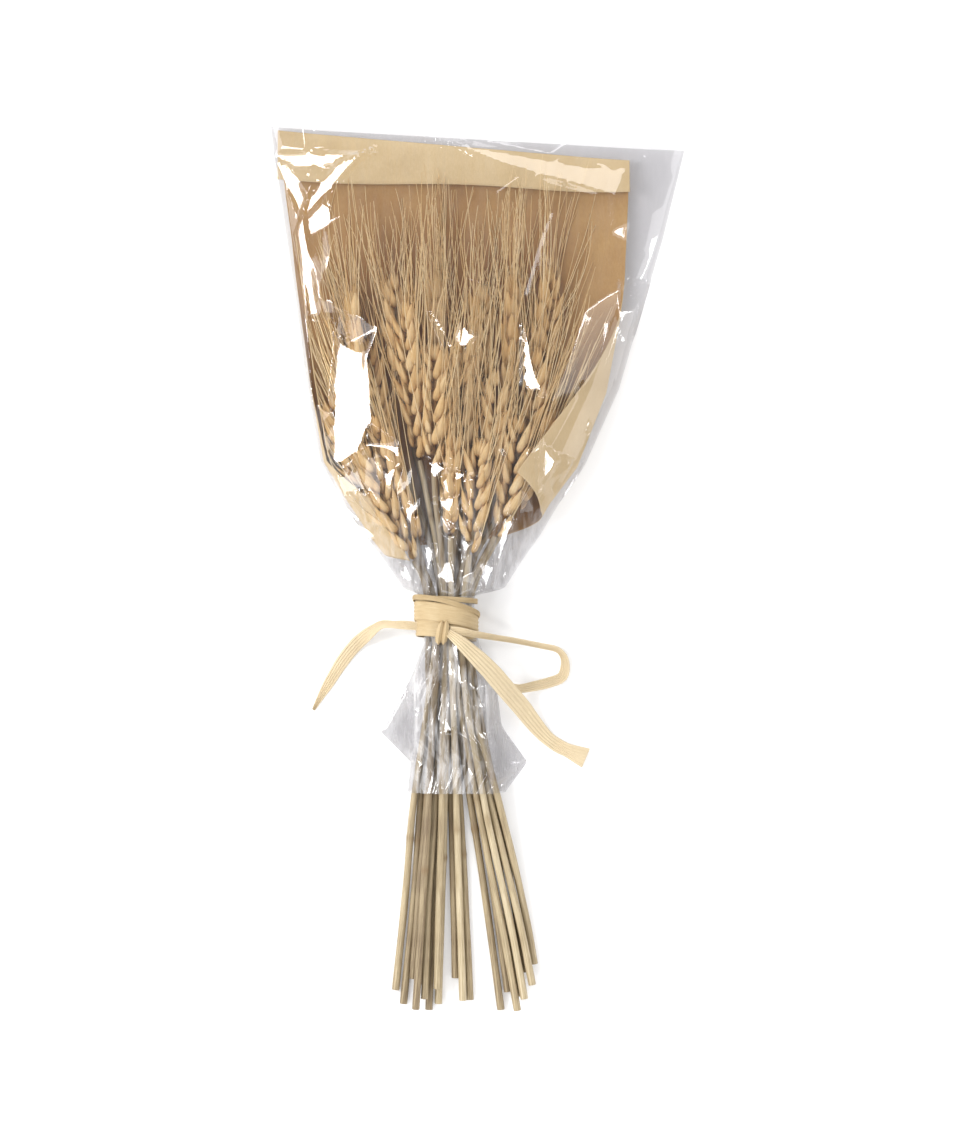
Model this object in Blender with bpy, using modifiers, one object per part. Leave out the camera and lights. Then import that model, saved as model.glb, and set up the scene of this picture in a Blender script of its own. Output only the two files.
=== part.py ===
"""A cut bunch of dried wheat lying on its back in a clear sleeve with a paper liner and a ribbon tie.

Metres, +X to the right, +Y from the cut stem ends to the ears, +Z up from the surface it lies on.
"""
import math

import bmesh
import bpy
import numpy as np

# Stalks: where each ear starts (x, y), how far it leans in x for each metre of y, and its length
EARS = [
    (-0.060, 0.052, -0.16, 0.064), (-0.044, 0.048, -0.20, 0.068), (-0.029, 0.054, -0.09, 0.080),
    (-0.056, 0.084, -0.10, 0.058), (-0.031, 0.004, -0.42, 0.058), (-0.037, 0.014, -0.22, 0.062),
    (-0.052, 0.028, -0.30, 0.060), (-0.020, 0.092, 0.00, 0.058), (-0.021, 0.050, 0.00, 0.062),
    (-0.039, 0.092, -0.05, 0.056), (-0.008, 0.048, 0.03, 0.072), (-0.013, 0.016, -0.02, 0.056),
    (-0.003, 0.007, 0.06, 0.058), (0.000, 0.084, 0.02, 0.058), (0.005, 0.034, 0.06, 0.066),
    (0.015, 0.084, 0.04, 0.066), (0.015, 0.016, 0.12, 0.060), (0.025, 0.048, 0.10, 0.062),
    (0.031, 0.092, 0.08, 0.060), (0.021, 0.030, 0.28, 0.056),
]
# Where the cut ends lie, from left to right: three loose groups
FEET = [
    (-0.040, -0.212), (-0.036, -0.219), (-0.033, -0.206), (-0.031, -0.221), (-0.029, -0.209),
    (-0.027, -0.216), (-0.025, -0.222), (-0.022, -0.219), (-0.020, -0.211), (-0.010, -0.206),
    (-0.008, -0.217), (-0.004, -0.217), (0.013, -0.222), (0.016, -0.213), (0.020, -0.222),
    (0.023, -0.216), (0.025, -0.203), (0.026, -0.215), (0.027, -0.209), (0.028, -0.199),
]
STEM_FOOT_RADIUS = 0.0019
STEM_TOP_RADIUS = 0.0014
EAR_RADIUS = 0.0058
EAR_TIP_RADIUS = 0.0012
SPIKELET_PITCH = 0.0105
SPIKELET_SWING = 0.0006
AWN_REACH = 0.045
AWN_TUFT_RADIUS = 0.0012

# The tied neck: its centre, and the half width and half height that the stems fill there
NECK_X, NECK_Y, NECK_Z = -0.0145, -0.0255, 0.0130
NECK_HALF_WIDTH, NECK_HALF_HEIGHT = 0.0120, 0.0096
NECK_HALF_LENGTH = 0.012
NECK_STRAIGHT = 0.020
NEAR_NECK = 0.070
NECK_LAYERS = 5
NECK_COLUMN_PITCH, NECK_LAYER_PITCH = 0.0042, 0.0034
# Height of the lowest layer of cut ends and of ears, and how far apart the layers lie
FOOT_Z, FOOT_LAYER_PITCH = 0.0025, 0.0024
EAR_Z, EAR_LAYER_PITCH = 0.0085, 0.0040

# The film sleeve: side edges and height at stations along Y, from the skirt's hem to the mouth
FILM_Y = [-0.112, -0.096, -0.082, -0.056, -0.0375, -0.0255, -0.0135, -0.010,
          0.005, 0.018, 0.034, 0.054, 0.094, 0.134, 0.174, 0.222]
FILM_LEFT = [-0.036, -0.043, -0.048, -0.035, -0.0285, -0.0269, -0.0280, -0.037,
             -0.048, -0.058, -0.068, -0.079, -0.086, -0.091, -0.097, -0.104]
FILM_RIGHT = [0.018, 0.025, 0.019, 0.009, -0.0005, -0.0021, -0.0010, 0.0135,
              0.023, 0.031, 0.040, 0.054, 0.071, 0.082, 0.093, 0.104]
FILM_TOP = [0.021, 0.022, 0.0225, 0.024, 0.0234, 0.0229, 0.0236, 0.0253,
            0.0295, 0.032, 0.034, 0.035, 0.035, 0.033, 0.026, 0.014]
FILM_SEAM = [0.008, 0.006, 0.006, 0.009, 0.0118, 0.0130, 0.0126, 0.0112,
             0.0085, 0.007, 0.006, 0.006, 0.006, 0.006, 0.006, 0.005]
FILM_BASE = [0.00025, 0.00025, 0.00025, 0.0008, 0.0023, 0.0031, 0.0024, 0.0016,
             0.0005, 0.00025, 0.00025, 0.00025, 0.00025, 0.00025, 0.00025, 0.00025]
FILM_THICKNESS = 0.0005
FILM_FLATNESS = [1.3, 1.4, 1.4, 1.15, 1.0, 1.0, 1.0, 1.08, 1.3, 1.4, 1.5, 1.5, 1.5, 1.5, 1.5, 1.5]
MOUTH_SLANT = 0.012

# The paper liner: its side edges, and how far round the sleeve each side is folded over, in degrees
PAPER_Y = [0.004, 0.014, 0.034, 0.054, 0.094, 0.134, 0.165, 0.219]
PAPER_LEFT = [-0.045, -0.053, -0.065, -0.075, -0.082, -0.087, -0.091, -0.099]
PAPER_RIGHT = [0.019, 0.025, 0.036, 0.050, 0.065, 0.071, 0.073, 0.076]
PAPER_LEFT_FOLD = [40, 40, 35, 25, 15, 5, -8, -14]
PAPER_RIGHT_FOLD = [62, 62, 60, 56, 36, 6, -10, -14]
# Its lower edge, given at shares of the way round the sleeve from the left flap to the right one
PAPER_LOW_AT = [0.0, 0.6, 0.85, 1.0]
PAPER_LOW = [0.004, 0.016, 0.030, 0.050]
PAPER_THICKNESS = 0.0004
PAPER_TOP_SLANT = 0.015
PAPER_LIFT = 0.0009
PAPER_DROP = 0.0011
STALK_CLEARANCE = 0.0007
FOLD_GAP = 0.0022
FOLD_DEPTH_LEFT, FOLD_DEPTH_RIGHT = 0.026, 0.015

# The ribbon: the band round the neck, the knot on it, and the free ends and loop
BAND_CLEARANCE = 0.0010
BAND_THICKNESS = 0.0014
BAND_LENGTH = 0.021
BAND_FLARE, BAND_FLARE_Z_SHARE = 0.10, 0.3
KNOT_PLACE = (-0.0165, -0.0310)
KNOT_HALF_SIZES = (0.0058, 0.0065, 0.0030)
RIBBON_THICKNESS = 0.0008
LEFT_TAIL_WIDTH, RIGHT_TAIL_WIDTH, LOOP_WIDTH = 0.0065, 0.0095, 0.0055
LEFT_TAIL = [
    (-0.0293, -0.0289, 0.0180), (-0.0345, -0.0283, 0.0150), (-0.0415, -0.0278, 0.0115),
    (-0.0480, -0.0280, 0.0078), (-0.0530, -0.0312, 0.0045), (-0.0590, -0.0362, 0.0020),
    (-0.0640, -0.0415, 0.0010), (-0.0690, -0.0482, 0.0006), (-0.0735, -0.0555, 0.0005),
    (-0.0782, -0.0632, 0.0005), (-0.0827, -0.0712, 0.0005),
]
RIGHT_TAIL = [
    (-0.0090, -0.0358, 0.0285), (-0.0035, -0.0408, 0.0268), (0.0020, -0.0462, 0.0245),
    (0.0075, -0.0520, 0.0210), (0.0125, -0.0580, 0.0170), (0.0175, -0.0640, 0.0120),
    (0.0225, -0.0700, 0.0075), (0.0270, -0.0760, 0.0040), (0.0315, -0.0815, 0.0020),
    (0.0360, -0.0860, 0.0012), (0.0415, -0.0898, 0.0007), (0.0480, -0.0928, 0.0005),
    (0.0545, -0.0955, 0.0005),
]
LOOP = [
    (-0.0080, -0.0312, 0.0268), (-0.0030, -0.0323, 0.0250), (0.0020, -0.0332, 0.0222),
    (0.0090, -0.0345, 0.0175), (0.0165, -0.0358, 0.0115), (0.0240, -0.0373, 0.0065),
    (0.0320, -0.0390, 0.0030), (0.0395, -0.0407, 0.0013), (0.0430, -0.0440, 0.0008),
    (0.0440, -0.0490, 0.0006), (0.0425, -0.0545, 0.0006), (0.0365, -0.0572, 0.0009),
    (0.0280, -0.0592, 0.0035), (0.0200, -0.0600, 0.0090), (0.0125, -0.0568, 0.0150),
    (0.0065, -0.0502, 0.0192), (0.0015, -0.0446, 0.0226), (-0.0035, -0.0395, 0.0248),
    (-0.0055, -0.0376, 0.0252),
]

# How the stalks are moved apart: gap kept between them, and the shares used in each round
JOIN_GAP = 0.0003
END_STEP = 0.005
WELD_DISTANCE = 0.00001
STALK_GAP = 0.0006
GAP_MARGIN = 1.06
PUSH_SHARE = 0.35
SQUEEZE_STEP = 0.08
ROUNDS = 3600
FREE_ROUNDS = 3060
# How strongly ears and stems return to their places, how far they fall, and how stiff they are
EAR_HOLD, STEM_HOLD, HOLD_Z_SHARE = 0.020, 0.006, 0.3
FALL_STEP = 0.00002
FREE_STIFFNESS, END_STIFFNESS = 0.10, 0.01
END_ROOM = 0.009


def along(y, values, stations=FILM_Y):
    """Value of a quantity given at stations along Y."""
    return np.interp(y, stations, values)


def narrowest(stations, left, right, places):
    """Side edges at each station, where they are closest together within half a step of it."""
    step = (stations[1] - stations[0]) / 2
    before, after = stations - step, stations + step
    return (np.maximum(along(before, left, places), along(after, left, places)),
            np.minimum(along(before, right, places), along(after, right, places)))


def hold_inside(points, reach, stations, rows, left, right, lift, drop):
    """Stalks kept inside a flat-backed loop: moved up or down, and inwards where it is too thin."""
    y = stations[rows, None]
    centre, half = (left + right)[rows, None] / 2, (right - left)[rows, None] / 2
    x, z, reach = points[rows, :, 0], points[rows, :, 1], reach[rows]
    across = np.clip((x - centre) / (half - 0.6 * reach - STALK_CLEARANCE), -1, 1)
    seam, flatness = along(y, FILM_SEAM), along(y, FILM_FLATNESS)
    base, top = along(y, FILM_BASE) + lift, along(y, FILM_TOP) - drop
    open_part = np.sqrt(1 - across**2)
    highest = seam + (top - seam) * open_part ** (1 / flatness) - reach - STALK_CLEARANCE
    lowest = seam - (seam - base) * np.minimum(1, flatness * open_part) + reach + STALK_CLEARANCE
    squeezed = highest < lowest
    points[rows, :, 0] = np.where(squeezed, x + SQUEEZE_STEP * (centre - x), x)
    points[rows, :, 1] = np.where(squeezed, (highest + lowest) / 2, np.clip(z, lowest, highest))


def inside_neck(points, radii, rows):
    """Stems pulled in to the ellipse that the tie holds them in."""
    centre = np.array([NECK_X, NECK_Z])
    offset = points[rows] - centre
    room = np.stack([NECK_HALF_WIDTH - radii[rows], NECK_HALF_HEIGHT - radii[rows]], axis=-1)
    outside = np.sqrt(((offset / room) ** 2).sum(axis=-1, keepdims=True))
    points[rows] = centre + offset / np.maximum(outside, 1)


def stalk_centrelines():
    """Stations along Y, and each stalk's x, z there: straight runs, moved apart until all are clear."""
    stations = np.linspace(-0.222, 0.222, 57)
    count = len(EARS)
    base_x, base_y, lean, length = np.array(EARS).T
    tip_y = base_y + length
    end_y = tip_y + AWN_REACH
    order = np.argsort(np.argsort((base_x - NECK_X) / (base_y - NECK_Y)))
    foot_x, foot_y = np.array(FEET)[order].T
    column = order // NECK_LAYERS
    layer = np.zeros(count, int)
    for one in range(count // NECK_LAYERS):
        members = np.where(column == one)[0]
        layer[members[np.argsort(-base_y[members])]] = np.arange(NECK_LAYERS)
    neck_x = NECK_X + (column - (count // NECK_LAYERS - 1) / 2) * NECK_COLUMN_PITCH
    neck_z = NECK_Z + (layer - (NECK_LAYERS - 1) / 2) * NECK_LAYER_PITCH
    foot_z = FOOT_Z + FOOT_LAYER_PITCH * layer
    ear_z = EAR_Z + EAR_LAYER_PITCH * layer

    points = np.zeros((len(stations), count, 2))
    radii = np.zeros((len(stations), count))
    hold = np.zeros((len(stations), count))
    for i in range(count):
        knots = [foot_y[i], NECK_Y - NECK_STRAIGHT, NECK_Y + NECK_STRAIGHT, base_y[i], tip_y[i], end_y[i]]
        tip_x = base_x[i] + lean[i] * length[i]
        xs = [foot_x[i], neck_x[i], neck_x[i], base_x[i], tip_x, tip_x + lean[i] * AWN_REACH]
        zs = [foot_z[i], neck_z[i], neck_z[i], ear_z[i], ear_z[i], ear_z[i]]
        points[:, i, 0] = np.interp(stations, knots, xs)
        points[:, i, 1] = np.interp(stations, knots, zs)
        part_way = (stations - base_y[i]) / length[i]
        stem = np.interp(stations, [foot_y[i], base_y[i]], [STEM_FOOT_RADIUS, STEM_TOP_RADIUS])
        ear = np.maximum(ear_envelope(part_way), AWN_TUFT_RADIUS)
        radii[:, i] = np.where(part_way < -0.06, stem, ear)
        present = (stations > foot_y[i] - END_ROOM) & (stations < end_y[i])
        radii[~present, i] = 0
        hold[:, i] = np.where((part_way > -0.1) & (part_way < 1.1), EAR_HOLD, STEM_HOLD)
    wanted = points.copy()
    tied = np.abs(stations - NECK_Y) < NECK_HALF_LENGTH
    in_film = stations > FILM_Y[0] - END_ROOM
    in_paper = stations > PAPER_Y[0] - END_ROOM
    film_edges = narrowest(stations, FILM_LEFT, FILM_RIGHT, FILM_Y)
    paper_edges = narrowest(stations, PAPER_LEFT, PAPER_RIGHT, PAPER_Y)

    for step in range(ROUNDS):
        settling = step < FREE_ROUNDS
        if settling:
            points += hold[..., None] * (wanted - points) * np.array([1.0, HOLD_Z_SHARE])
            points[..., 1] -= FALL_STEP
        bend = points[2:] - 2 * points[1:-1] + points[:-2]
        stiffness = FREE_STIFFNESS if settling else END_STIFFNESS
        points[2:] -= stiffness * bend
        points[1:-1] += 2 * stiffness * bend
        points[:-2] -= stiffness * bend
        push_apart(points, radii)
        middle = (points[1:] + points[:-1]) / 2
        moved = middle.copy()
        push_apart(moved, np.minimum(radii[1:], radii[:-1]))
        points[1:] += (moved - middle) / 2
        points[:-1] += (moved - middle) / 2
        reach = np.maximum(radii, AWN_TUFT_RADIUS)
        hold_inside(points, reach, stations, in_film, *film_edges, 0, 0)
        hold_inside(points, reach, stations, in_paper, *paper_edges, PAPER_LIFT, PAPER_DROP)
        points[..., 1] = np.maximum(points[..., 1], reach)
        inside_neck(points, radii, tied)
    return stations, points, foot_y, base_y, tip_y


def push_apart(points, radii):
    """Every pair of discs that overlap in a station's plane is moved apart by part of the overlap."""
    offset = points[:, :, None, :] - points[:, None, :, :]
    distance = np.sqrt((offset**2).sum(axis=-1)) + 1e-9
    present = (radii[:, :, None] > 0) & (radii[:, None, :] > 0)
    needed = (radii[:, :, None] + radii[:, None, :] + STALK_GAP) * GAP_MARGIN
    overlap = np.where(present, np.clip(needed - distance, 0, None), 0)
    each = np.arange(points.shape[1])
    overlap[:, each, each] = 0
    points += PUSH_SHARE * (offset / distance[..., None] * overlap[..., None]).sum(axis=2)


def ear_envelope(part_way):
    """Radius of an ear's outline, from its base at 0 to its tip at 1."""
    shape = np.minimum(0.42 + 2.2 * part_way, 0.30 + 1.5 * (1 - part_way))
    return EAR_RADIUS * np.clip(shape, 0, 1) * (part_way < 1.02)


def material(name, colour, roughness):
    """Principled material of one colour."""
    finish = bpy.data.materials.new(name)
    finish.use_nodes = True
    shader = finish.node_tree.nodes["Principled BSDF"]
    shader.inputs["Base Color"].default_value = (*colour, 1.0)
    shader.inputs["Roughness"].default_value = roughness
    shader.inputs["Metallic"].default_value = 0.0
    return finish


def tube(name, points, radii, bevel_resolution, finish, bunch):
    """Round rod along the points, with its own radius at each one and filled caps."""
    curve = bpy.data.curves.new(name, "CURVE")
    curve.dimensions = "3D"
    curve.bevel_depth = 1.0
    curve.bevel_resolution = bevel_resolution
    curve.use_fill_caps = True
    spline = curve.splines.new("POLY")
    spline.points.add(len(points) - 1)
    for knot, place, radius in zip(spline.points, points, radii):
        knot.co = (*place, 1.0)
        knot.radius = radius
    curve.materials.append(finish)
    rod = bpy.data.objects.new(name, curve)
    bunch.objects.link(rod)
    return rod


def sheet(name, columns, rows, place, thickness, finish, bunch, welded=False):
    """Grid bent to place(u, v), with u and v from 0 to 1, and given a thickness either side."""
    mesh = bpy.data.meshes.new(name)
    grid = bmesh.new()
    bmesh.ops.create_grid(grid, x_segments=columns, y_segments=rows, size=0.5)
    for corner in grid.verts:
        corner.co = place(corner.co.x + 0.5, corner.co.y + 0.5)
    if welded:
        bmesh.ops.remove_doubles(grid, verts=grid.verts, dist=WELD_DISTANCE)
    grid.to_mesh(mesh)
    grid.free()
    mesh.materials.append(finish)
    mesh.shade_smooth()
    panel = bpy.data.objects.new(name, mesh)
    bunch.objects.link(panel)
    wall = panel.modifiers.new("Wall", "SOLIDIFY")
    wall.thickness = thickness
    wall.offset = 0.0
    wall.use_even_offset = False
    return panel


def sleeve_section(y, turn, left, right, lift, drop):
    """Point of a flat-backed loop round the bunch at height y along it, turn radians round from +X."""
    centre, half = (left + right) / 2, (right - left) / 2
    base = along(y, FILM_BASE) + lift
    top = along(y, FILM_TOP) - drop
    seam = along(y, FILM_SEAM)
    rise = math.sin(turn)
    if rise >= 0:
        z = seam + (top - seam) * rise ** (1 / along(y, FILM_FLATNESS))
    else:
        z = seam - (seam - base) * min(1.0, -rise * along(y, FILM_FLATNESS))
    return centre + half * math.cos(turn), z


def build_stalks(bunch):
    """Twenty stalks, each a stem and an ear."""
    straw = material("straw", (0.62, 0.52, 0.34), 0.6)
    chaff = material("chaff", (0.72, 0.55, 0.33), 0.75)
    stations, points, foot_y, base_y, tip_y = stalk_centrelines()
    near_neck = np.abs(stations - NECK_Y) < NEAR_NECK
    coarse = stations[near_neck | (np.arange(len(stations)) % 2 == 0)]
    for i in range(len(EARS)):
        ear_start = base_y[i] + JOIN_GAP
        inner = coarse[(coarse > foot_y[i] + END_STEP) & (coarse < base_y[i] - END_STEP)]
        run = np.concatenate([[foot_y[i]], inner, [base_y[i]]])
        radii = np.interp(run, [foot_y[i], base_y[i]], [STEM_FOOT_RADIUS, STEM_TOP_RADIUS])
        tube(f"stem_{i + 1:02d}", centreline(run, stations, points[:, i]), radii, 1, straw, bunch)

        spikelets = round((tip_y[i] - ear_start) / SPIKELET_PITCH)
        steps = np.linspace(0, 1, 2 * spikelets + 1)
        run = ear_start + steps * (tip_y[i] - ear_start)
        radii = np.clip(ear_envelope(steps), EAR_TIP_RADIUS, None)
        radii[2::2] *= 0.80
        axis = centreline(run, stations, points[:, i])
        axis[:, 0] += SPIKELET_SWING * np.sin(steps * spikelets * math.pi)
        tube(f"ear_{i + 1:02d}", axis, radii, 2, chaff, bunch)


def centreline(run, stations, places):
    """Points of a stalk's centreline at the given places along Y."""
    x = np.interp(run, stations, places[:, 0])
    z = np.interp(run, stations, places[:, 1])
    return np.stack([x, run, z], axis=1)


def build_sleeve(bunch):
    """Clear film sleeve, open at the mouth and at the hem of the skirt below the tie."""
    film = material("clear_film", (0.92, 0.93, 0.95), 0.1)

    def place(u, v):
        y = np.interp(v * (len(FILM_Y) - 1), range(len(FILM_Y)), FILM_Y)
        x, z = sleeve_section(y, 2 * math.pi * u, along(y, FILM_LEFT), along(y, FILM_RIGHT), 0, 0)
        if y > 0:
            y -= MOUTH_SLANT * (x - FILM_LEFT[-1]) / (FILM_RIGHT[-1] - FILM_LEFT[-1]) * y / FILM_Y[-1]
        return x, y, z

    sheet("film_sleeve", 32, len(FILM_Y) - 1, place, FILM_THICKNESS, film, bunch, welded=True)


def build_liner(bunch):
    """Kraft paper trough inside the sleeve, its sides folded over and its top edge turned down."""
    kraft = material("kraft_paper", (0.66, 0.47, 0.28), 0.85)
    sheet_rows, fold_rows = 10, 3
    rows = sheet_rows + fold_rows

    def place(u, v):
        row = v * rows
        low = along(u, PAPER_LOW, PAPER_LOW_AT)
        y = low + (PAPER_Y[-1] - low) * min(1.0, row / sheet_rows)
        left_fold = math.radians(along(y, PAPER_LEFT_FOLD, PAPER_Y))
        right_fold = math.radians(along(y, PAPER_RIGHT_FOLD, PAPER_Y))
        turn = (math.pi - left_fold) + u * (math.pi + left_fold + right_fold)
        left, right = along(y, PAPER_LEFT, PAPER_Y), along(y, PAPER_RIGHT, PAPER_Y)
        x, z = sleeve_section(y, turn, left, right, PAPER_LIFT, PAPER_DROP)
        across = (x - left) / (right - left)
        y -= PAPER_TOP_SLANT * across * max(0.0, y) / PAPER_Y[-1]
        depth = FOLD_DEPTH_LEFT + (FOLD_DEPTH_RIGHT - FOLD_DEPTH_LEFT) * across
        folded = row - sheet_rows
        if folded > 0.5:
            z += FOLD_GAP * (0.5 if folded < 1.5 else 1.0 if folded < 2.5 else 1.3)
            y += FOLD_GAP / 2 if folded < 1.5 else 0.0 if folded < 2.5 else -depth
        return x, y, z

    sheet("kraft_paper_liner", 30, rows, place, PAPER_THICKNESS, kraft, bunch)


def smooth_route(knots, count):
    """Points read evenly from a Catmull-Rom curve through the knots."""
    knots = np.array(knots)
    padded = np.vstack([2 * knots[0] - knots[1], knots, 2 * knots[-1] - knots[-2]])
    spots = np.linspace(0, len(knots) - 1, count)
    which = np.minimum(spots.astype(int), len(knots) - 2)
    t = (spots - which)[:, None]
    a, b, c, d = (padded[which + k] for k in range(4))
    return 0.5 * (2 * b + (c - a) * t + (2 * a - 5 * b + 4 * c - d) * t**2 + (3 * b - a - 3 * c + d) * t**3)


def ribbon_strip(name, knots, width, count, finish, bunch):
    """Flat strip of ribbon along a smooth route, its width level."""
    route = smooth_route(knots, count)
    heading = np.gradient(route, axis=0)
    side = np.stack([-heading[:, 1], heading[:, 0], np.zeros(count)], axis=1)
    side /= np.linalg.norm(side, axis=1, keepdims=True)

    def place(u, v):
        station = round(v * (count - 1))
        return route[station] + side[station] * width * (u - 0.5)

    sheet(name, 1, count - 1, place, RIBBON_THICKNESS, finish, bunch)


def build_ribbon(bunch):
    """Ribbon tie: band, knot, two free tails and a loop."""
    raffia = material("ribbon", (0.86, 0.74, 0.52), 0.7)
    half_wall = BAND_THICKNESS / 2
    half_width = NECK_HALF_WIDTH + FILM_THICKNESS + BAND_CLEARANCE + half_wall
    half_height = NECK_HALF_HEIGHT + FILM_THICKNESS + BAND_CLEARANCE + half_wall

    def place(u, v):
        turn = 2 * math.pi * u
        flare = 1 + BAND_FLARE * (2 * v - 1) ** 2
        x = NECK_X + half_width * flare * math.cos(turn)
        z = NECK_Z + half_height * (1 + (flare - 1) * BAND_FLARE_Z_SHARE) * math.sin(turn)
        return x, NECK_Y + BAND_LENGTH * (v - 0.5), z

    sheet("ribbon_band", 28, 4, place, BAND_THICKNESS, raffia, bunch, welded=True)

    bpy.ops.mesh.primitive_uv_sphere_add(segments=14, ring_count=8, radius=1.0)
    knot = bpy.context.active_object
    knot.name = "ribbon_knot"
    knot.data.name = "ribbon_knot"
    for corner in knot.data.vertices:
        corner.co = [c * size for c, size in zip(corner.co, KNOT_HALF_SIZES)]
    top = NECK_Z + half_height + half_wall
    knot.location = (*KNOT_PLACE, top + KNOT_HALF_SIZES[2] + JOIN_GAP)
    knot.data.materials.append(raffia)
    knot.data.shade_smooth()
    for collection in list(knot.users_collection):
        collection.objects.unlink(knot)
    bunch.objects.link(knot)

    ribbon_strip("ribbon_left_tail", LEFT_TAIL, LEFT_TAIL_WIDTH, 22, raffia, bunch)
    ribbon_strip("ribbon_right_tail", RIGHT_TAIL, RIGHT_TAIL_WIDTH, 22, raffia, bunch)
    ribbon_strip("ribbon_loop", LOOP, LOOP_WIDTH, 34, raffia, bunch)


def main():
    for leftover in list(bpy.data.objects):
        bpy.data.objects.remove(leftover, do_unlink=True)
    bunch = bpy.data.collections.new("dried_wheat_bundle")
    bpy.context.scene.collection.children.link(bunch)
    build_stalks(bunch)
    build_liner(bunch)
    build_sleeve(bunch)
    build_ribbon(bunch)


main()
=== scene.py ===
import math

import bmesh
import bpy
import numpy as np
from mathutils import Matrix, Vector


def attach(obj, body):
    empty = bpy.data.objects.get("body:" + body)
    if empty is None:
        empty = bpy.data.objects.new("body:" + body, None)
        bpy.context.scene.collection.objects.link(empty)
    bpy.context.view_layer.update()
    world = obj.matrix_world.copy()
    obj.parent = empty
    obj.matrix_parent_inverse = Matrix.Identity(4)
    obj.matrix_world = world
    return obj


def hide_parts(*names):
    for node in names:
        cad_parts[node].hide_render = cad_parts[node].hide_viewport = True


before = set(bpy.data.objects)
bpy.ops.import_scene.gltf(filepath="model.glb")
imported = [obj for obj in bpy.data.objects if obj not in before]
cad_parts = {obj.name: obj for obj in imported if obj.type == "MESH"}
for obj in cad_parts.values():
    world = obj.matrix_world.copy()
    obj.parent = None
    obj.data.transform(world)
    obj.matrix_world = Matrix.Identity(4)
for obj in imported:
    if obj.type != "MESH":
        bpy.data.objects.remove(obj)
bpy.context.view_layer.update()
mm = 0.001
stalkCount = 20


studio = {  # metres and watts; the lens and sensor in millimetres
    "frameHeight": 0.5635,  # what the camera takes in at the aim point
    "aimPoint": (0.004, 0.0025, 0.012),
    "lens": 100.0,
    "sensor": 36.0,
    "floorHalf": 6.0,
    "floorDrop": 0.0002,
    "floorColour": (0.80, 0.80, 0.805),
    "floorRoughness": 0.8,
    "floorShine": 0.1,
    "floorGlow": 0.18,
    "worldStrength": 0.50,
    "darkPlace": (-0.30, 0.35, 1.70),  # away from all softboxes
    "softboxes": {  # place, size and watts: small bright ones for glints, wide dim ones for sheen
        "key": ((-1.00, 0.25, 0.95), (0.34, 0.60), 10.5),
        "glintRight": ((1.10, 0.10, 0.62), (0.12, 0.50), 2.4),
        "glintTop": ((-0.55, 0.85, 1.15), (0.20, 0.20), 2.2),
        "glintLow": ((-0.45, -1.05, 0.85), (0.30, 0.22), 3.0),
        "glintLowRight": ((0.55, -0.75, 1.00), (0.22, 0.22), 2.4),
        "overTop": ((0.25, 0.80, 1.45), (0.32, 0.09), 0.40),
        "overLeft": ((-0.75, -0.15, 1.35), (0.16, 0.30), 1.1),
        "wideLeft": ((-1.60, 0.10, 0.90), (1.10, 1.50), 16.0),
        "wideRight": ((1.60, -0.10, 0.80), (0.90, 1.50), 8.0),
        "wideTop": ((0.20, 1.70, 0.80), (1.40, 0.80), 9.0),
        "wideLow": ((0.10, -1.60, 0.70), (1.50, 0.70), 8.0),
    },
}


# Rectangular softbox that faces the aim point
def addSoftbox(name, place, size, watts, aim):
    lamp = bpy.data.lights.new(name, "AREA")
    lamp.shape = "RECTANGLE"
    lamp.size, lamp.size_y = size
    lamp.energy = watts
    holder = bpy.data.objects.new(name, lamp)
    bpy.context.scene.collection.objects.link(holder)
    holder.location = place
    holder.rotation_euler = (aim - holder.location).to_track_quat("-Z", "Y").to_euler()


# Straight over the aim point, as far up as lets the lens take in the frame's height
def cameraPlace():
    distance = studio["frameHeight"] * studio["lens"] / studio["sensor"]
    return Vector(studio["aimPoint"]) + Vector((0, 0, distance))


def buildStudio():
    scene = bpy.context.scene
    lens = bpy.data.cameras.new("camera")
    lens.lens = studio["lens"]
    lens.sensor_width = studio["sensor"]
    camera = bpy.data.objects.new("camera", lens)
    scene.collection.objects.link(camera)
    camera.location = cameraPlace()
    scene.camera = camera
    scene.view_settings.view_transform = "Standard"

    sky = bpy.data.worlds.new("studio")
    sky.use_nodes = True
    sky.node_tree.nodes["Background"].inputs["Color"].default_value = (1, 1, 1, 1)
    sky.node_tree.nodes["Background"].inputs["Strength"].default_value = studio["worldStrength"]
    scene.world = sky
    for name, (place, size, watts) in studio["softboxes"].items():
        addSoftbox(name + "Softbox", place, size, watts, Vector(studio["aimPoint"]))

    half, level = studio["floorHalf"], -studio["floorDrop"]
    corners = np.array([[-half, -half, level], [half, -half, level],
                        [half, half, level], [-half, half, level]])
    floor = placeMesh("floor", corners, np.array([[0, 1, 2, 3]]))
    finish = Finish("floorPaint")
    finish.surface({"Base Color": (*studio["floorColour"], 1), "Roughness": studio["floorRoughness"],
                    "Specular IOR Level": studio["floorShine"],
                    "Emission Color": (1, 1, 1, 1), "Emission Strength": studio["floorGlow"]})
    floor.data.materials.append(finish.material)
    print("studio ready")


# Object at the origin from an (n, 3) array of points and an (m, 3) or (m, 4) array of faces
def placeMesh(name, points, faces):
    mesh = bpy.data.meshes.new(name)
    mesh.vertices.add(len(points))
    mesh.vertices.foreach_set("co", np.asarray(points, np.float32).ravel())
    mesh.loops.add(faces.size)
    mesh.loops.foreach_set("vertex_index", np.asarray(faces, np.int32).ravel())
    mesh.polygons.add(len(faces))
    starts = np.arange(len(faces), dtype=np.int32) * faces.shape[1]
    mesh.polygons.foreach_set("loop_start", starts)
    mesh.update(calc_edges=True)
    mesh.validate()
    mesh.shade_smooth()
    piece = bpy.data.objects.new(name, mesh)
    bpy.context.scene.collection.objects.link(piece)
    return piece


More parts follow.
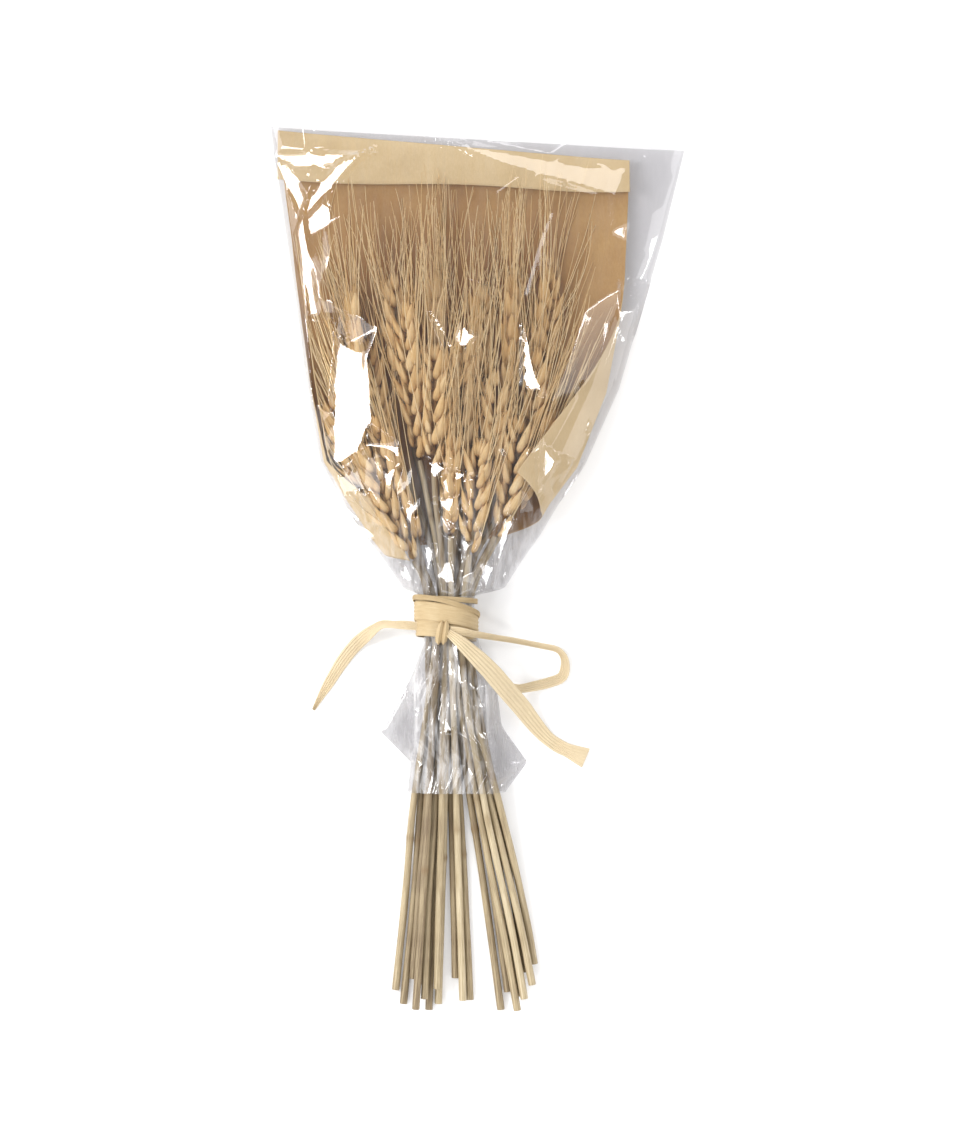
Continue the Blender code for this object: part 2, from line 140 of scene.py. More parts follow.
# Finish on a piece, and the node that it shows
def dress(piece, finish, node):
    piece.data.materials.append(finish)
    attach(piece, "root")
    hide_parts(node)


# Number for each vertex, for the materials to read
def addAttribute(piece, name, values):
    layer = piece.data.attributes.new(name, "FLOAT", "POINT")
    layer.data.foreach_set("value", np.asarray(values, np.float32).ravel())


# UV map from one (u, v) for each vertex
def addUv(piece, uv):
    layer = piece.data.uv_layers.new(name="surface")
    order = np.zeros(len(piece.data.loops), np.int32)
    piece.data.loops.foreach_get("vertex_index", order)
    layer.data.foreach_set("uv", np.asarray(uv, np.float32)[order].ravel())


# Faces turned to point out of the closed piece
def fixNormals(piece):
    work = bmesh.new()
    work.from_mesh(piece.data)
    bmesh.ops.recalc_face_normals(work, faces=work.faces)
    work.to_mesh(piece.data)
    work.free()


# Triangles of a tube of rings with the same number of points each. A pole closes each end: the first
# ring's is point rings * sides, the last ring's is the next.
def tubeFaces(rings, sides):
    ring = np.arange(rings - 1)[:, None] * sides
    here = np.arange(sides)[None, :]
    after = (here + 1) % sides
    a, b, c, d = ring + here, ring + after, ring + sides + after, ring + sides + here
    wall = np.stack([a, b, c, a, c, d], axis=-1).reshape(-1, 3)
    turn = np.arange(sides)
    following = (turn + 1) % sides
    first, last = rings * sides, rings * sides + 1
    start = np.stack([following, turn, np.full(sides, first)], axis=-1)
    offset = (rings - 1) * sides
    end = np.stack([offset + turn, offset + following, np.full(sides, last)], axis=-1)
    return np.concatenate([wall, start, end])


# Quads over rows of points, facing up where rows run along Y and columns along X
def gridFaces(rows, columns):
    row = np.arange(rows - 1)[:, None] * columns
    column = np.arange(columns - 1)[None, :]
    a = row + column
    return np.stack([a, a + 1, a + columns + 1, a + columns], axis=-1).reshape(-1, 4)


# Quads round rows of points that each close on themselves
def hoopFaces(row, following, columns):
    here = np.arange(columns)[None, :]
    after = (here + 1) % columns
    return np.stack([row + here, row + after, following + after, following + here], axis=-1).reshape(-1, 4)


# 0 up to a mark and 1 from a stretch past it on, straight between; a negative stretch runs the other way
def fade(value, mark, stretch):
    return np.clip((value - mark) / stretch, 0, 1)


def unit(vectors):
    return vectors / np.linalg.norm(vectors, axis=-1, keepdims=True)


# A value on its way through a material's nodes, usable in Python sums
class Wire:
    def __init__(self, finish, socket):
        self.finish = finish
        self.socket = socket

    def maths(self, operation, first, second):
        return self.finish.node("ShaderNodeMath", {"operation": operation}, {0: first, 1: second})

    def __add__(self, other):
        return self.maths("ADD", self, other)

    def __radd__(self, other):
        return self.maths("ADD", other, self)

    def __sub__(self, other):
        return self.maths("SUBTRACT", self, other)

    def __rsub__(self, other):
        return self.maths("SUBTRACT", other, self)

    def __mul__(self, other):
        return self.maths("MULTIPLY", self, other)

    def __rmul__(self, other):
        return self.maths("MULTIPLY", other, self)

    def __pow__(self, other):
        return self.maths("POWER", self, other)

    def clamp(self):  # kept between 0 and 1
        return self.maths("MAXIMUM", self.maths("MINIMUM", self, 1.0), 0.0)

    def step(self, low, high):  # 0 below low, 1 above high, straight between
        return ((self - low) * (1.0 / (high - low))).clamp()


# A material under construction
class Finish:
    def __init__(self, name):
        self.material = bpy.data.materials.new(name)
        self.material.use_nodes = True
        self.tree = self.material.node_tree
        self.tree.nodes.clear()
        self.output = self.tree.nodes.new("ShaderNodeOutputMaterial")

    # Any node: its settings first, then values or wires for its sockets, and one output back
    def node(self, kind, settings=None, inputs=None, out=0):
        box = self.tree.nodes.new(kind)
        for key, value in (settings or {}).items():
            if key == "stops":
                ramp = box.color_ramp
                while len(ramp.elements) < len(value):
                    ramp.elements.new(0.5)
                for element, (place, colour) in zip(ramp.elements, value):
                    element.position = place
                    element.color = (*colour, 1)
            else:
                setattr(box, key, value)
        for key, value in (inputs or {}).items():
            if isinstance(value, Wire):
                self.tree.links.new(value.socket, box.inputs[key])
            else:
                box.inputs[key].default_value = value
        return Wire(self, box.outputs[out])

    def ramp(self, share, stops):
        return self.node("ShaderNodeValToRGB", {"stops": stops}, {"Fac": share})

    def blend(self, share, first, second):  # colour between two colours
        first, second = (c if isinstance(c, Wire) else (*c, 1) for c in (first, second))
        return self.node("ShaderNodeMix", {"data_type": "RGBA"}, {0: share, 6: first, 7: second}, out=2)

    # Position on the piece, in units of 1/scale metres, stretched where scale has three numbers
    def place(self, scale, source="Object"):
        spot = self.node("ShaderNodeTexCoord", None, None, out=source)
        scale = scale if hasattr(scale, "__len__") else (scale, scale, scale)
        return self.node("ShaderNodeMapping", None, {"Vector": spot, "Scale": scale})

    def noise(self, vector, detail=3.0, roughness=0.55):
        return self.node("ShaderNodeTexNoise", None,
                         {"Vector": vector, "Scale": 1.0, "Detail": detail, "Roughness": roughness})

    def attribute(self, name):
        return self.node("ShaderNodeAttribute", {"attribute_name": name}, None, out="Fac")

    def bump(self, height, distance, strength, normal=None):
        inputs = {"Height": height, "Distance": distance, "Strength": strength}
        if normal is not None:
            inputs["Normal"] = normal
        return self.node("ShaderNodeBump", None, inputs)

    def principled(self, inputs):
        return self.node("ShaderNodeBsdfPrincipled", None, inputs)

    # Finish the material with this shader, or with one Principled shader of these inputs
    def surface(self, shader):
        if not isinstance(shader, Wire):
            shader = self.principled(shader)
        self.tree.links.new(shader.socket, self.output.inputs["Surface"])
        return self.material


strawLook = {
    "stops": [(0.1, (0.17, 0.12, 0.07)), (0.5, (0.42, 0.335, 0.205)), (0.95, (0.70, 0.61, 0.44))],
    # dark brown for the knuckles' own colour, and as painted shade inside the hollow cut end
    "knuckle": (0.20, 0.125, 0.06),
    "lineScale": (20.0, 5.0, 1.0),  # round the straw and along it
    "blotchScale": (260.0, 40.0, 260.0),
    "relief": 0.25 * mm,
}


# Dry straw: lengthwise lines, blotches and a tone of its own for each stalk, darker knuckles, and painted
# shade inside the hollow cut end
def strawFinish():
    finish = Finish("straw")
    lines = finish.noise(finish.place(strawLook["lineScale"], "UV"), 4.0, 0.7)
    blotch = finish.noise(finish.place(strawLook["blotchScale"]))
    tone = finish.attribute("tone")
    colour = finish.ramp((tone * 0.55 + lines * 1.3 + blotch * 0.3 - 0.62).clamp(), strawLook["stops"])
    # knuckles darker, and painted shade inside the hollow cut end
    colour = finish.blend(finish.attribute("knuckle") * 0.7, colour, strawLook["knuckle"])
    return finish.surface({"Base Color": colour, "Roughness": lines * 0.25 + 0.38,
                           "Normal": finish.bump(lines, strawLook["relief"], 0.7),
                           "Specular IOR Level": 0.35})


chaffLook = {
    "stops": [(0.0, (0.36, 0.19, 0.06)), (0.42, (0.745, 0.49, 0.21)), (1.0, (0.97, 0.80, 0.49))],
    # painted shade colour where husks tuck under each other
    "paintedTuckShadeColour": (0.23, 0.10, 0.028),
    "ribScale": (3.0, 0.6, 1.0),  # round a husk and along it
    "mottleScale": 420.0,
    "patchScale": 55.0,
    "relief": 0.18 * mm,
}


# Husks and awns: pale ribs along each husk, and painted shade: brown where husks tuck under each other
def chaffFinish():
    finish = Finish("chaff")
    ribs = finish.node("ShaderNodeTexWave", {"wave_type": "BANDS", "bands_direction": "X"},
                       {"Vector": finish.place(chaffLook["ribScale"], "UV"), "Scale": 1.0, "Distortion": 0.6})
    mottle = finish.noise(finish.place(chaffLook["mottleScale"]), 4.0, 0.6)
    patches = finish.noise(finish.place(chaffLook["patchScale"]), 2.0)
    tone = finish.attribute("tone")
    light = (tone * 0.55 + mottle * 0.35 + patches * 0.35 + ribs * 0.08 - 0.12).clamp()
    colour = finish.ramp(light, chaffLook["stops"])
    # painted shade at each husk's base
    colour = finish.blend(finish.attribute("tuck") * 0.82, colour, chaffLook["paintedTuckShadeColour"])
    height = finish.bump(ribs * 0.6 + mottle * 0.6, chaffLook["relief"], 0.6)
    return finish.surface({"Base Color": colour, "Roughness": mottle * 0.2 + 0.5, "Normal": height,
                           "Specular IOR Level": 0.3})


kraftLook = {
    # inside: darker, more orange colours as painted shade of the liner's inside; the paper itself is the same
    # on both sides
    "inside": ((0.39, 0.21, 0.08), (0.60, 0.39, 0.165)),  # dark and light
    "outside": ((0.58, 0.42, 0.215), (0.77, 0.605, 0.36)),
    # painted shade under the ears: its dark brown, and how much of it the inside takes
    "stain": (0.20, 0.075, 0.025),
    "paintedShadeShare": 0.62,
    "fibreScale": (1800.0, 420.0, 1800.0),
    "cloudScale": 45.0,
    "speckScale": 2600.0,
    "wrinkleScale": (70.0, 50.0, 60.0),
    "fibreRelief": 0.08 * mm,
    "wrinkleRelief": 1.2 * mm,
}


# Kraft paper: fibres, fine specks and faint wrinkles, with painted shade: browner where the ears lie over it
def kraftFinish(name, side, stain):
    dark, light = kraftLook[side]
    finish = Finish(name)
    fibres = finish.noise(finish.place(kraftLook["fibreScale"]), 4.0, 0.7)
    cloud = finish.noise(finish.place(kraftLook["cloudScale"]), 4.0, 0.6)
    speck = finish.noise(finish.place(kraftLook["speckScale"]), 1.0)
    colour = finish.ramp((fibres * 0.45 + cloud * 0.55).clamp(), [(0.25, dark), (0.75, light)])
    colour = finish.blend(speck.step(0.66, 0.78) * 0.35, colour, tuple(0.6 * c for c in dark))
    # painted shade, browner towards the middle of the sheet under the ears
    colour = finish.blend(finish.attribute("stain") * stain, colour, kraftLook["stain"])
    wrinkle = finish.noise(finish.place(kraftLook["wrinkleScale"]), 5.0, 0.6)
    height = finish.bump(fibres, kraftLook["fibreRelief"], 0.5,
                         finish.bump(wrinkle, kraftLook["wrinkleRelief"], 0.35))
    return finish.surface({"Base Color": colour, "Roughness": fibres * 0.15 + 0.72,
                           "Normal": height, "Specular IOR Level": 0.25})


filmLook = {
    "tint": (0.80, 0.795, 0.803, 1),
    "mirrorTint": (0.97, 0.97, 0.98, 1),
    "mirrorRoughness": 0.05,
    "mirrorAhead": 0.065,  # share of light mirrored where the film faces the eye
    "mirrorAside": 0.88,  # and how much more where it faces away
    # white of the painted sheen on the crumples
    "paintedSheen": (0.93, 0.92, 0.93, 1),
    "waveScale": 110.0,
    "waveRelief": 0.2 * mm,
    "streakScale": (420.0, 45.0, 120.0),
}


# Clear film: see-through, with painted sheen as white matte streaks where it is wrinkled, and a mirror by a
# small share plus the fifth power of how far it faces away
def filmFinish():
    finish = Finish("clearFilm")
    wave = finish.noise(finish.place(filmLook["waveScale"]))
    height = finish.bump(wave, filmLook["waveRelief"], 0.15)
    aside = finish.node("ShaderNodeLayerWeight", None, {"Blend": 0.5, "Normal": height}, out="Facing")
    gloss = finish.principled({"Base Color": filmLook["mirrorTint"], "Metallic": 1.0,
                               "Roughness": filmLook["mirrorRoughness"], "Normal": height})
    clear = finish.node("ShaderNodeBsdfTransparent", None, {"Color": filmLook["tint"]})
    share = (filmLook["mirrorAhead"] + filmLook["mirrorAside"] * aside ** 5).clamp()
    streaks = finish.noise(finish.place(filmLook["streakScale"]), 3.0, 0.6)
    white = finish.node("ShaderNodeBsdfDiffuse", None, {"Color": filmLook["paintedSheen"]})
    # painted sheen: white matte streaks, more where the film is crumpled
    paintedSheen = (finish.attribute("wrinkles") * streaks.step(0.42, 0.68)).clamp()
    body = finish.node("ShaderNodeMixShader", None, {0: paintedSheen, 1: clear, 2: white})
    return finish.surface(finish.node("ShaderNodeMixShader", None, {0: share, 1: body, 2: gloss}))


raffiaLook = {
    "stops": [(0.2, (0.30, 0.20, 0.095)), (0.5, (0.485, 0.365, 0.205)), (0.85, (0.63, 0.52, 0.345))],
    "pale": (0.82, 0.73, 0.55),
    "fibreScale": (26.0, 60.0, 1.0),  # across the ribbon and along it
    "cloudScale": 120.0,
    "relief": 0.15 * mm,
}


# Paper raffia: lengthwise fibres in pale cream, paler on the free ends
def raffiaFinish():
    finish = Finish("ribbon")
    fibres = finish.noise(finish.place(raffiaLook["fibreScale"], "UV"), 4.0, 0.65)
    cloud = finish.noise(finish.place(raffiaLook["cloudScale"]))
    colour = finish.ramp((fibres * 0.7 + cloud * 0.3).clamp(), raffiaLook["stops"])
    colour = finish.blend(finish.attribute("pale") * 0.34, colour, raffiaLook["pale"])
    height = finish.bump(fibres, raffiaLook["relief"], 0.7)
    return finish.surface({"Base Color": colour, "Roughness": fibres * 0.2 + 0.5, "Normal": height,
                           "Specular IOR Level": 0.3})


sleeve = {  # side edges, height over the bunch, height of the side seams, and lift of the back, along Y
    "y": [-112, -97, -82, -78, -56, -37.5, -25.5, -13.5, -10, 5, 18, 34, 54, 94, 134, 174, 222],
    "left": [-35, -33.5, -48.5, -46, -34, -26.5, -26.9, -28.0, -37, -47.5, -57, -68, -79, -86, -91, -97,
             -104],
    "right": [14, 25, 14, 12, 9, 1.0, -2.1, -1.0, 13.5, 23, 32, 41, 54, 71, 82, 93, 104],
    "top": [21, 22, 22.5, 22.6, 23.6, 23.4, 22.9, 23.6, 25.3, 29.5, 32, 34, 35, 35, 33, 26, 14],
    "seam": [8, 6, 6, 6.5, 9, 11.8, 13, 12.6, 11.2, 8.5, 7, 6, 6, 6, 6, 6, 5],
    "base": [0.3, 0.3, 0.3, 0.3, 0.9, 2.3, 3.1, 2.4, 1.6, 0.5, 0.3, 0.3, 0.3, 0.3, 0.3, 0.3, 0.3],
    "flatness": [1.3, 1.4, 1.4, 1.4, 1.15, 1.0, 1.0, 1.0, 1.08, 1.3, 1.4, 1.5, 1.5, 1.5, 1.5, 1.5, 1.5],
    "mouthHalf": 104,
    "mouthSlant": 12.0,
}


# One of the sleeve's quantities at places along Y, in metres, or as it is for flatness
def sleeveAt(y, key):
    value = np.interp(y / mm, sleeve["y"], sleeve[key])
    return value if key == "flatness" else value * mm


# Height of the sleeve's upper half: seam height plus rise times (1 - a squared) to a small power, where
# a runs from -1 at the left edge to 1 at the right one
def domeHeight(x, y, drop=0.0):
    left, right = sleeveAt(y, "left"), sleeveAt(y, "right")
    across = np.clip((2 * x - left - right) / (right - left), -0.999, 0.999)
    seam = sleeveAt(y, "seam")
    return seam + (sleeveAt(y, "top") - drop - seam) * (1 - across**2) ** (0.5 / sleeveAt(y, "flatness"))


chance = np.random.default_rng(20)


# A CAD node's separate corners
def nodePoints(node):
    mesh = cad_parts[node].data
    points = np.zeros(len(mesh.vertices) * 3)
    mesh.vertices.foreach_get("co", points)
    return np.unique(np.round(points.reshape(-1, 3), 7), axis=0)


# Centreline of a stem's solid: its corners fall into rings of six along Y, and each ring has a middle
def stemLine(node):
    points = nodePoints(node)
    points = points[np.argsort(points[:, 1])]
    sides = 6
    count = len(points) // sides
    return points[:count * sides].reshape(count, sides, 3).mean(axis=1)


# Centreline of an ear's solid: x and z as parabolas in y through its corners
def earLine(node, count):
    points = nodePoints(node)
    y = np.linspace(points[:, 1].min(), points[:, 1].max(), count)
    x = np.polyval(np.polyfit(points[:, 1], points[:, 0], 2), y)
    z = np.polyval(np.polyfit(points[:, 1], points[:, 2], 2), y)
    return np.stack([x, y, z], axis=1)


# The line read every step along Y, its corners rounded four times by a mean of neighbours
def smoothLine(line, step):
    count = max(8, int((line[-1, 1] - line[0, 1]) / step))
    y = np.linspace(line[0, 1], line[-1, 1], count)
    smooth = np.stack([np.interp(y, line[:, 1], line[:, k]) for k in range(3)], axis=1)
    for _ in range(4):
        smooth[2:-2] = (smooth[1:-3] + 2 * smooth[2:-2] + smooth[3:-1]) / 4
    return smooth


# Points and headings at distances along a line, and its length
def sampleLine(line, distance):
    steps = np.linalg.norm(np.diff(line, axis=0), axis=1)
    run = np.concatenate([[0], np.cumsum(steps)])
    distance = np.clip(distance, 0, run[-1])
    points = np.stack([np.interp(distance, run, line[:, k]) for k in range(3)], axis=1)
    slopes = np.gradient(line, run, axis=0)
    headings = np.stack([np.interp(distance, run, slopes[:, k]) for k in range(3)], axis=1)
    return points, unit(headings), run[-1]


# Rings square to given headings, as an array (rings, sides, 3): (cos, -sin) times the radius
def ringsAlong(path, radii, headings, sides):
    headings = unit(headings)
    across = unit(np.cross(headings, [0.0, 0.0, 1.0]))
    upward = np.cross(across, headings)
    turn = np.linspace(0, 2 * math.pi, sides, endpoint=False)
    ring = np.cos(turn)[None, :, None] * across[:, None, :] - np.sin(turn)[None, :, None] * upward[:, None, :]
    return path[:, None, :] + radii[:, None, None] * ring


straw = {  # millimetres, and shares of the length or radius
    "footRadius": 1.9,
    "topRadius": 1.4,
    "sides": 12,
    "step": 3.0,  # between rings
    "boreShare": 0.60,
    "boreDepth": 4.0,
    "rim": 0.2,
    "knuckles": [(0.25, 0.45), (0.72, 0.9)],  # each lies somewhere between two shares of the length
    "knuckleLength": 1.6,
    "knuckleSwell": 0.16,
    "waver": 0.025,  # of the radius, in waves along the length
    "waverTurns": 40,
    "topRing": 0.8,  # share of the radius at the last ring
    "sharpAngle": 50,
}


# Cut straw: hollow at its lower end, tapered, with two knuckles
def buildStraw(number, finish):
    node = f"stem_{number:02d}"
    line = smoothLine(stemLine(node), straw["step"] * mm)
    sides = straw["sides"]
    footRadius, topRadius = straw["footRadius"] * mm, straw["topRadius"] * mm
    length = line[-1, 1] - line[0, 1]
    share = (line[:, 1] - line[0, 1]) / length
    radii = footRadius + (topRadius - footRadius) * share
    knuckles = chance.uniform(*np.array(straw["knuckles"]).T)
    swelling = sum(np.exp(-((share - k) * length / (straw["knuckleLength"] * mm)) ** 2) for k in knuckles)
    radii = radii * (1 + straw["knuckleSwell"] * swelling)
    radii = radii * (1 + straw["waver"] * np.sin(share * straw["waverTurns"] + number))
    radii[-1] *= straw["topRing"]
    heading = unit(line[1] - line[0])
    rim = straw["rim"] * mm
    bore = straw["boreShare"] * footRadius
    cut = line[0] + heading * np.array([straw["boreDepth"] * mm, rim, 0, 0.75 * rim])[:, None]
    path = np.concatenate([cut, line[1:]])
    radii = np.concatenate([[bore * 0.9, bore, footRadius * 0.93, footRadius], radii[1:]])
    headings = np.gradient(line, axis=0)
    headings = np.concatenate([np.repeat(headings[:1], len(cut), axis=0), headings[1:]])
    points = ringsAlong(path, radii, headings, sides)
    points = np.concatenate([points.reshape(-1, 3), [path[0], path[-1] + heading * rim]])
    piece = placeMesh(f"straw_{number:02d}", points, tubeFaces(len(path), sides))
    piece.data.set_sharp_from_angle(angle=math.radians(straw["sharpAngle"]))
    along = np.concatenate([np.repeat(path[:, 1] * 10, sides), path[[0, -1], 1] * 10])
    around = np.concatenate([np.tile(np.arange(sides) / sides, len(path)), [0, 0]])
    addUv(piece, np.stack([around, along], axis=1))
    addAttribute(piece, "tone", np.full(len(points), chance.uniform(0.05, 1.0)))
    # darkness: painted shade inside the hollow cut end, and the knuckles' own darker colour
    dark = np.clip(np.concatenate([[1, 0.8, 0.15, 0], swelling[1:]]), 0, 1)
    addAttribute(piece, "knuckle", np.concatenate([np.repeat(dark, sides), [1, 0]]))
    dress(piece, finish, node)


ear = {  # millimetres and degrees
    "pitch": 5.3,
    "start": 1.0,
    "tipRoom": 9.0,
    # each husk of a spikelet: start up the ear, out from it, outward tilt, fan angle, length, width,
    # thickness, and 1 where it has an awn
    "husks": [
        (0.0, 1.7, 22, 38, 11.5, 5.0, 3.8, 0), (0.0, 1.7, 22, -38, 11.5, 5.0, 3.8, 0),
        (1.6, 2.1, 24, 20, 15.5, 5.8, 4.8, 1), (1.9, 2.1, 24, -20, 15.5, 5.8, 4.8, 1),
        (4.2, 1.7, 14, 0, 13.5, 5.0, 4.3, 1),
    ],
    "wobble": 4,
    "rankShare": 0.6,  # of the start out from the ear that lies along its rank
    "fanOut": 1.6,
    "sizeSpread": (0.92, 1.08),
    "tipSpreads": (-12, 0, 12),
    "tipBelow": 10.0,
    "tipSize": (10.5, 3.6, 3.0),
    "baseTaper": (0.70, 1.4),  # size at the base, and how fast it grows to full
    "tipTaper": (0.72, 1.3),
    "roll": (0, 0.5),  # middle and spread, in radians
    "sideRoll": (1.3, 0.25),  # of every fourth ear
    "huskRows": 7,
    "huskSides": 8,
}


# One husk, 1 long, 1 wide and 1 thick, from its base at 0 to its tip: radius is the sine of pi times u to
# the 0.72, slimmer towards the tip, fuller outside than inside, with a keel down the outside
def huskShape():
    rows, sides = ear["huskRows"], ear["huskSides"]
    u = np.linspace(0, 1, rows)[1:-1]
    radius = 0.5 * np.sin(math.pi * u**0.72) ** 0.85 * (1 - 0.25 * u)
    turn = np.linspace(0, 2 * math.pi, sides, endpoint=False)
    wide = radius[:, None] * np.cos(turn)
    rise = np.sin(turn)
    deep = radius[:, None] * np.where(rise > 0, rise + 0.25 * rise**5, 0.5 * rise)
    curl = -0.16 * u[:, None] ** 2
    points = np.stack([wide, deep + curl, u[:, None] + 0 * wide], axis=-1).reshape(-1, 3)
    poles = np.array([[0, 0, 0.0], [0, -0.2, 1.03]])
    height = np.concatenate([np.repeat(u, sides), [0, 1]])
    around = np.concatenate([np.tile(turn / (2 * math.pi), len(u)), [0.25, 0.25]])
    return np.concatenate([points, poles]), tubeFaces(len(u), sides)[:, ::-1], height, around


# Bearded ear: spikelets in two ranks up a zigzag stalk, each a fan of five husks, three with an awn. Each
# husk's points are start + length u d + width a c + thickness b o, with directions d along it, c across
# it and o out of the ear.
def buildEar(number, finish):
    node = f"ear_{number:02d}"
    line = earLine(node, 24)
    _, _, length = sampleLine(line, np.array([0.0]))
    pitch = ear["pitch"] * mm
    count = int((length - ear["tipRoom"] * mm) / pitch)
    index = np.arange(count)
    centre, axis, _ = sampleLine(line, ear["start"] * mm + index * pitch)
    roll = chance.normal(*ear["roll"]) if number % 4 else chance.normal(*ear["sideRoll"])
    facing = unit(np.array([0.0, 0.0, 1.0]) - axis * axis[:, 2:3])
    sideways = np.cross(axis, facing)
    front = math.cos(roll) * facing + math.sin(roll) * sideways
    rank = math.cos(roll) * sideways - math.sin(roll) * facing
    side = np.where(index % 2 == 0, 1.0, -1.0)[:, None]
    base, baseGrowth = ear["baseTaper"]
    tip, tipGrowth = ear["tipTaper"]
    size = np.clip(base + baseGrowth * index / count, 0, 1)
    size = size * np.clip(tip + tipGrowth * (1 - index / count), 0, 1)

    starts, lengths, outs, dirs, widths, depths, bearded, tones = [], [], [], [], [], [], [], []
    for up, out, tilt, spread, long, wide, deep, awned in ear["husks"]:
        wobble = chance.normal(0, ear["wobble"], (count, 2))
        tiltNow = np.radians(tilt + wobble[:, :1])
        spreadNow = np.radians(spread + wobble[:, 1:])
        outward = unit(side * rank * np.cos(spreadNow) + front * np.sin(spreadNow))
        direction = unit(axis * np.cos(tiltNow) + outward * np.sin(tiltNow))
        aside = side * rank * out * mm * ear["rankShare"] + front * np.sin(spreadNow) * ear["fanOut"] * mm
        scale = size * chance.uniform(*ear["sizeSpread"], count)
        starts.append(centre + axis * up * mm + aside)
        dirs.append(direction)
        outs.append(unit(outward - direction * (outward * direction).sum(1, keepdims=True)))
        lengths.append(long * mm * scale)
        widths.append(wide * mm * scale)
        depths.append(deep * mm * scale)
        bearded.append(np.full(count, awned))
        tones.append(chance.uniform(0, 1, count))
    tipPlace, tipAxis, _ = sampleLine(line, np.array([length - ear["tipBelow"] * mm]))
    long, wide, deep = ear["tipSize"]
    for spread in ear["tipSpreads"]:  # the last spikelet stands up at the tip
        tiltNow = math.radians(spread)
        direction = unit(tipAxis * math.cos(tiltNow) + rank[-1:] * math.sin(tiltNow))
        starts.append(tipPlace)
        dirs.append(direction)
        outs.append(unit(np.cross(direction, front[-1:]) * np.sign(spread or 1)))
        lengths.append(np.array([long * mm]))
        widths.append(np.array([wide * mm]))
        depths.append(np.array([deep * mm]))
        bearded.append(np.array([1]))
        tones.append(chance.uniform(0, 1, 1))
    starts, dirs, outs, lengths, widths, depths, bearded, tones = (
        np.concatenate(values) for values in (starts, dirs, outs, lengths, widths, depths, bearded, tones))

    shape, faces, rise, around = huskShape()
    husks = (starts[:, None, :]
             + shape[None, :, 2:3] * lengths[:, None, None] * dirs[:, None, :]
             + shape[None, :, 0:1] * widths[:, None, None] * np.cross(dirs, outs)[:, None, :]
             + shape[None, :, 1:2] * depths[:, None, None] * outs[:, None, :])
    each = len(shape)
    huskFaces = (faces[None] + (np.arange(len(starts)) * each)[:, None, None]).reshape(-1, 3)
    earTone = 0.1 + 0.75 * chance.random()
    tone = np.repeat(earTone * 0.5 + tones * 0.5, each)
    # painted shade: 1 at each husk's base, gone by about 0.42 of its length
    tuck = np.tile(np.clip(1 - rise * 2.4, 0, 1) ** 1.3, len(starts))
    uv = np.stack([np.tile(around, len(starts)), np.tile(rise, len(starts))], axis=1)

    awnPoints, awnFaces, awnCount = awnShape(starts, dirs, outs, lengths, bearded, line)
    points = np.concatenate([husks.reshape(-1, 3), awnPoints])
    faces = np.concatenate([huskFaces, awnFaces + len(tone)])
    awnTone = np.repeat(0.45 + 0.95 * chance.random(awnCount), len(awnPoints) // awnCount)
    piece = placeMesh(f"wheat_ear_{number:02d}", points, faces)
    addAttribute(piece, "tone", np.concatenate([tone, awnTone]))
    addAttribute(piece, "tuck", np.concatenate([tuck, np.zeros(len(awnPoints))]))
    addUv(piece, np.concatenate([uv, np.zeros((len(awnPoints), 2))]))
    dress(piece, finish, node)


awn = {  # millimetres
    "rows": 10,
    "radius": (0.34, 0.12),  # at the husk and at the tip
    "startShare": 0.97,  # of the husk's length
    "startIn": 0.5,
    "leave": (0.8, 0.45),  # how much of the husk's and of the ear's direction it leaves along
    "lean": 0.35,  # how much of the husk's direction is left in its own heading
    "reach": (26, 56),  # past the ear's tip
    "shares": (0.55, 1.0),  # of the way from the husk to the ear's tip
    "spread": (0.13, 0.0, 0.06),
    "sway": 2.0,
    "sideGaps": (3.0, 2.0),  # kept from the liner's left and right edges
    "roofDrop": 3.5,
    "roofGap": 1.0,
    "flapDrop": 3.2,  # how much lower awns lie under the folded side
    "flapTop": 150,
    "flapFade": 40,
    "foldStart": 188,  # from here on awns lie over the turned-down edge
    "foldHeight": 6.5,
    "sheetHeight": 2.2,
}


# Thin three-sided tapering hairs: each leaves its husk's tip along the husk and bends to its own heading
# near the ear's, p(s) = tip + L (d0 (s - s^2/2) + d1 s^2/2)
def awnShape(starts, dirs, outs, lengths, bearded, line):
    pick = np.where(bearded > 0)[0]
    count, rows = len(pick), awn["rows"]
    tip = starts[pick] + dirs[pick] * (lengths[pick] * awn["startShare"])[:, None]
    tip = tip - outs[pick] * awn["startIn"] * mm
    reach = chance.uniform(*awn["reach"], count) * mm
    long = np.clip(line[-1, 1] - tip[:, 1], 0, None) * chance.uniform(*awn["shares"], count) + reach
    main = unit(line[-1] - line[0])
    heading = unit(main + chance.normal(0, awn["spread"], (count, 3)) + awn["lean"] * dirs[pick])
    s = np.linspace(0, 1, rows)[None, :, None]
    alongHusk, alongEar = awn["leave"]
    first = unit(dirs[pick] * alongHusk + main * alongEar)[:, None, :]
    sway = chance.normal(0, awn["sway"] * mm, (count, 1, 1)) * np.sin(s * math.pi) * np.array([1.0, 0, 0])
    bend = first * (s - s**2 / 2) + heading[:, None, :] * s**2 / 2
    path = keepInSleeve(tip[:, None, :] + long[:, None, None] * bend + sway)
    thick, thin = awn["radius"]
    radius = (thick + (thin - thick) * s[..., 0]) * mm
    turn = np.radians([90, 210, 330])
    ring = np.stack([np.cos(turn), np.zeros(3), np.sin(turn)], axis=1)
    points = path[:, :, None, :] + radius[:, :, None, None] * ring[None, None]
    poles = path[:, [0, -1]]
    whole = np.concatenate([points.reshape(count, rows * 3, 3), poles], axis=1)
    faces = tubeFaces(rows, 3)[:, ::-1]
    faces = (faces[None] + (np.arange(count) * whole.shape[1])[:, None, None]).reshape(-1, 3)
    return whole.reshape(-1, 3), faces, count


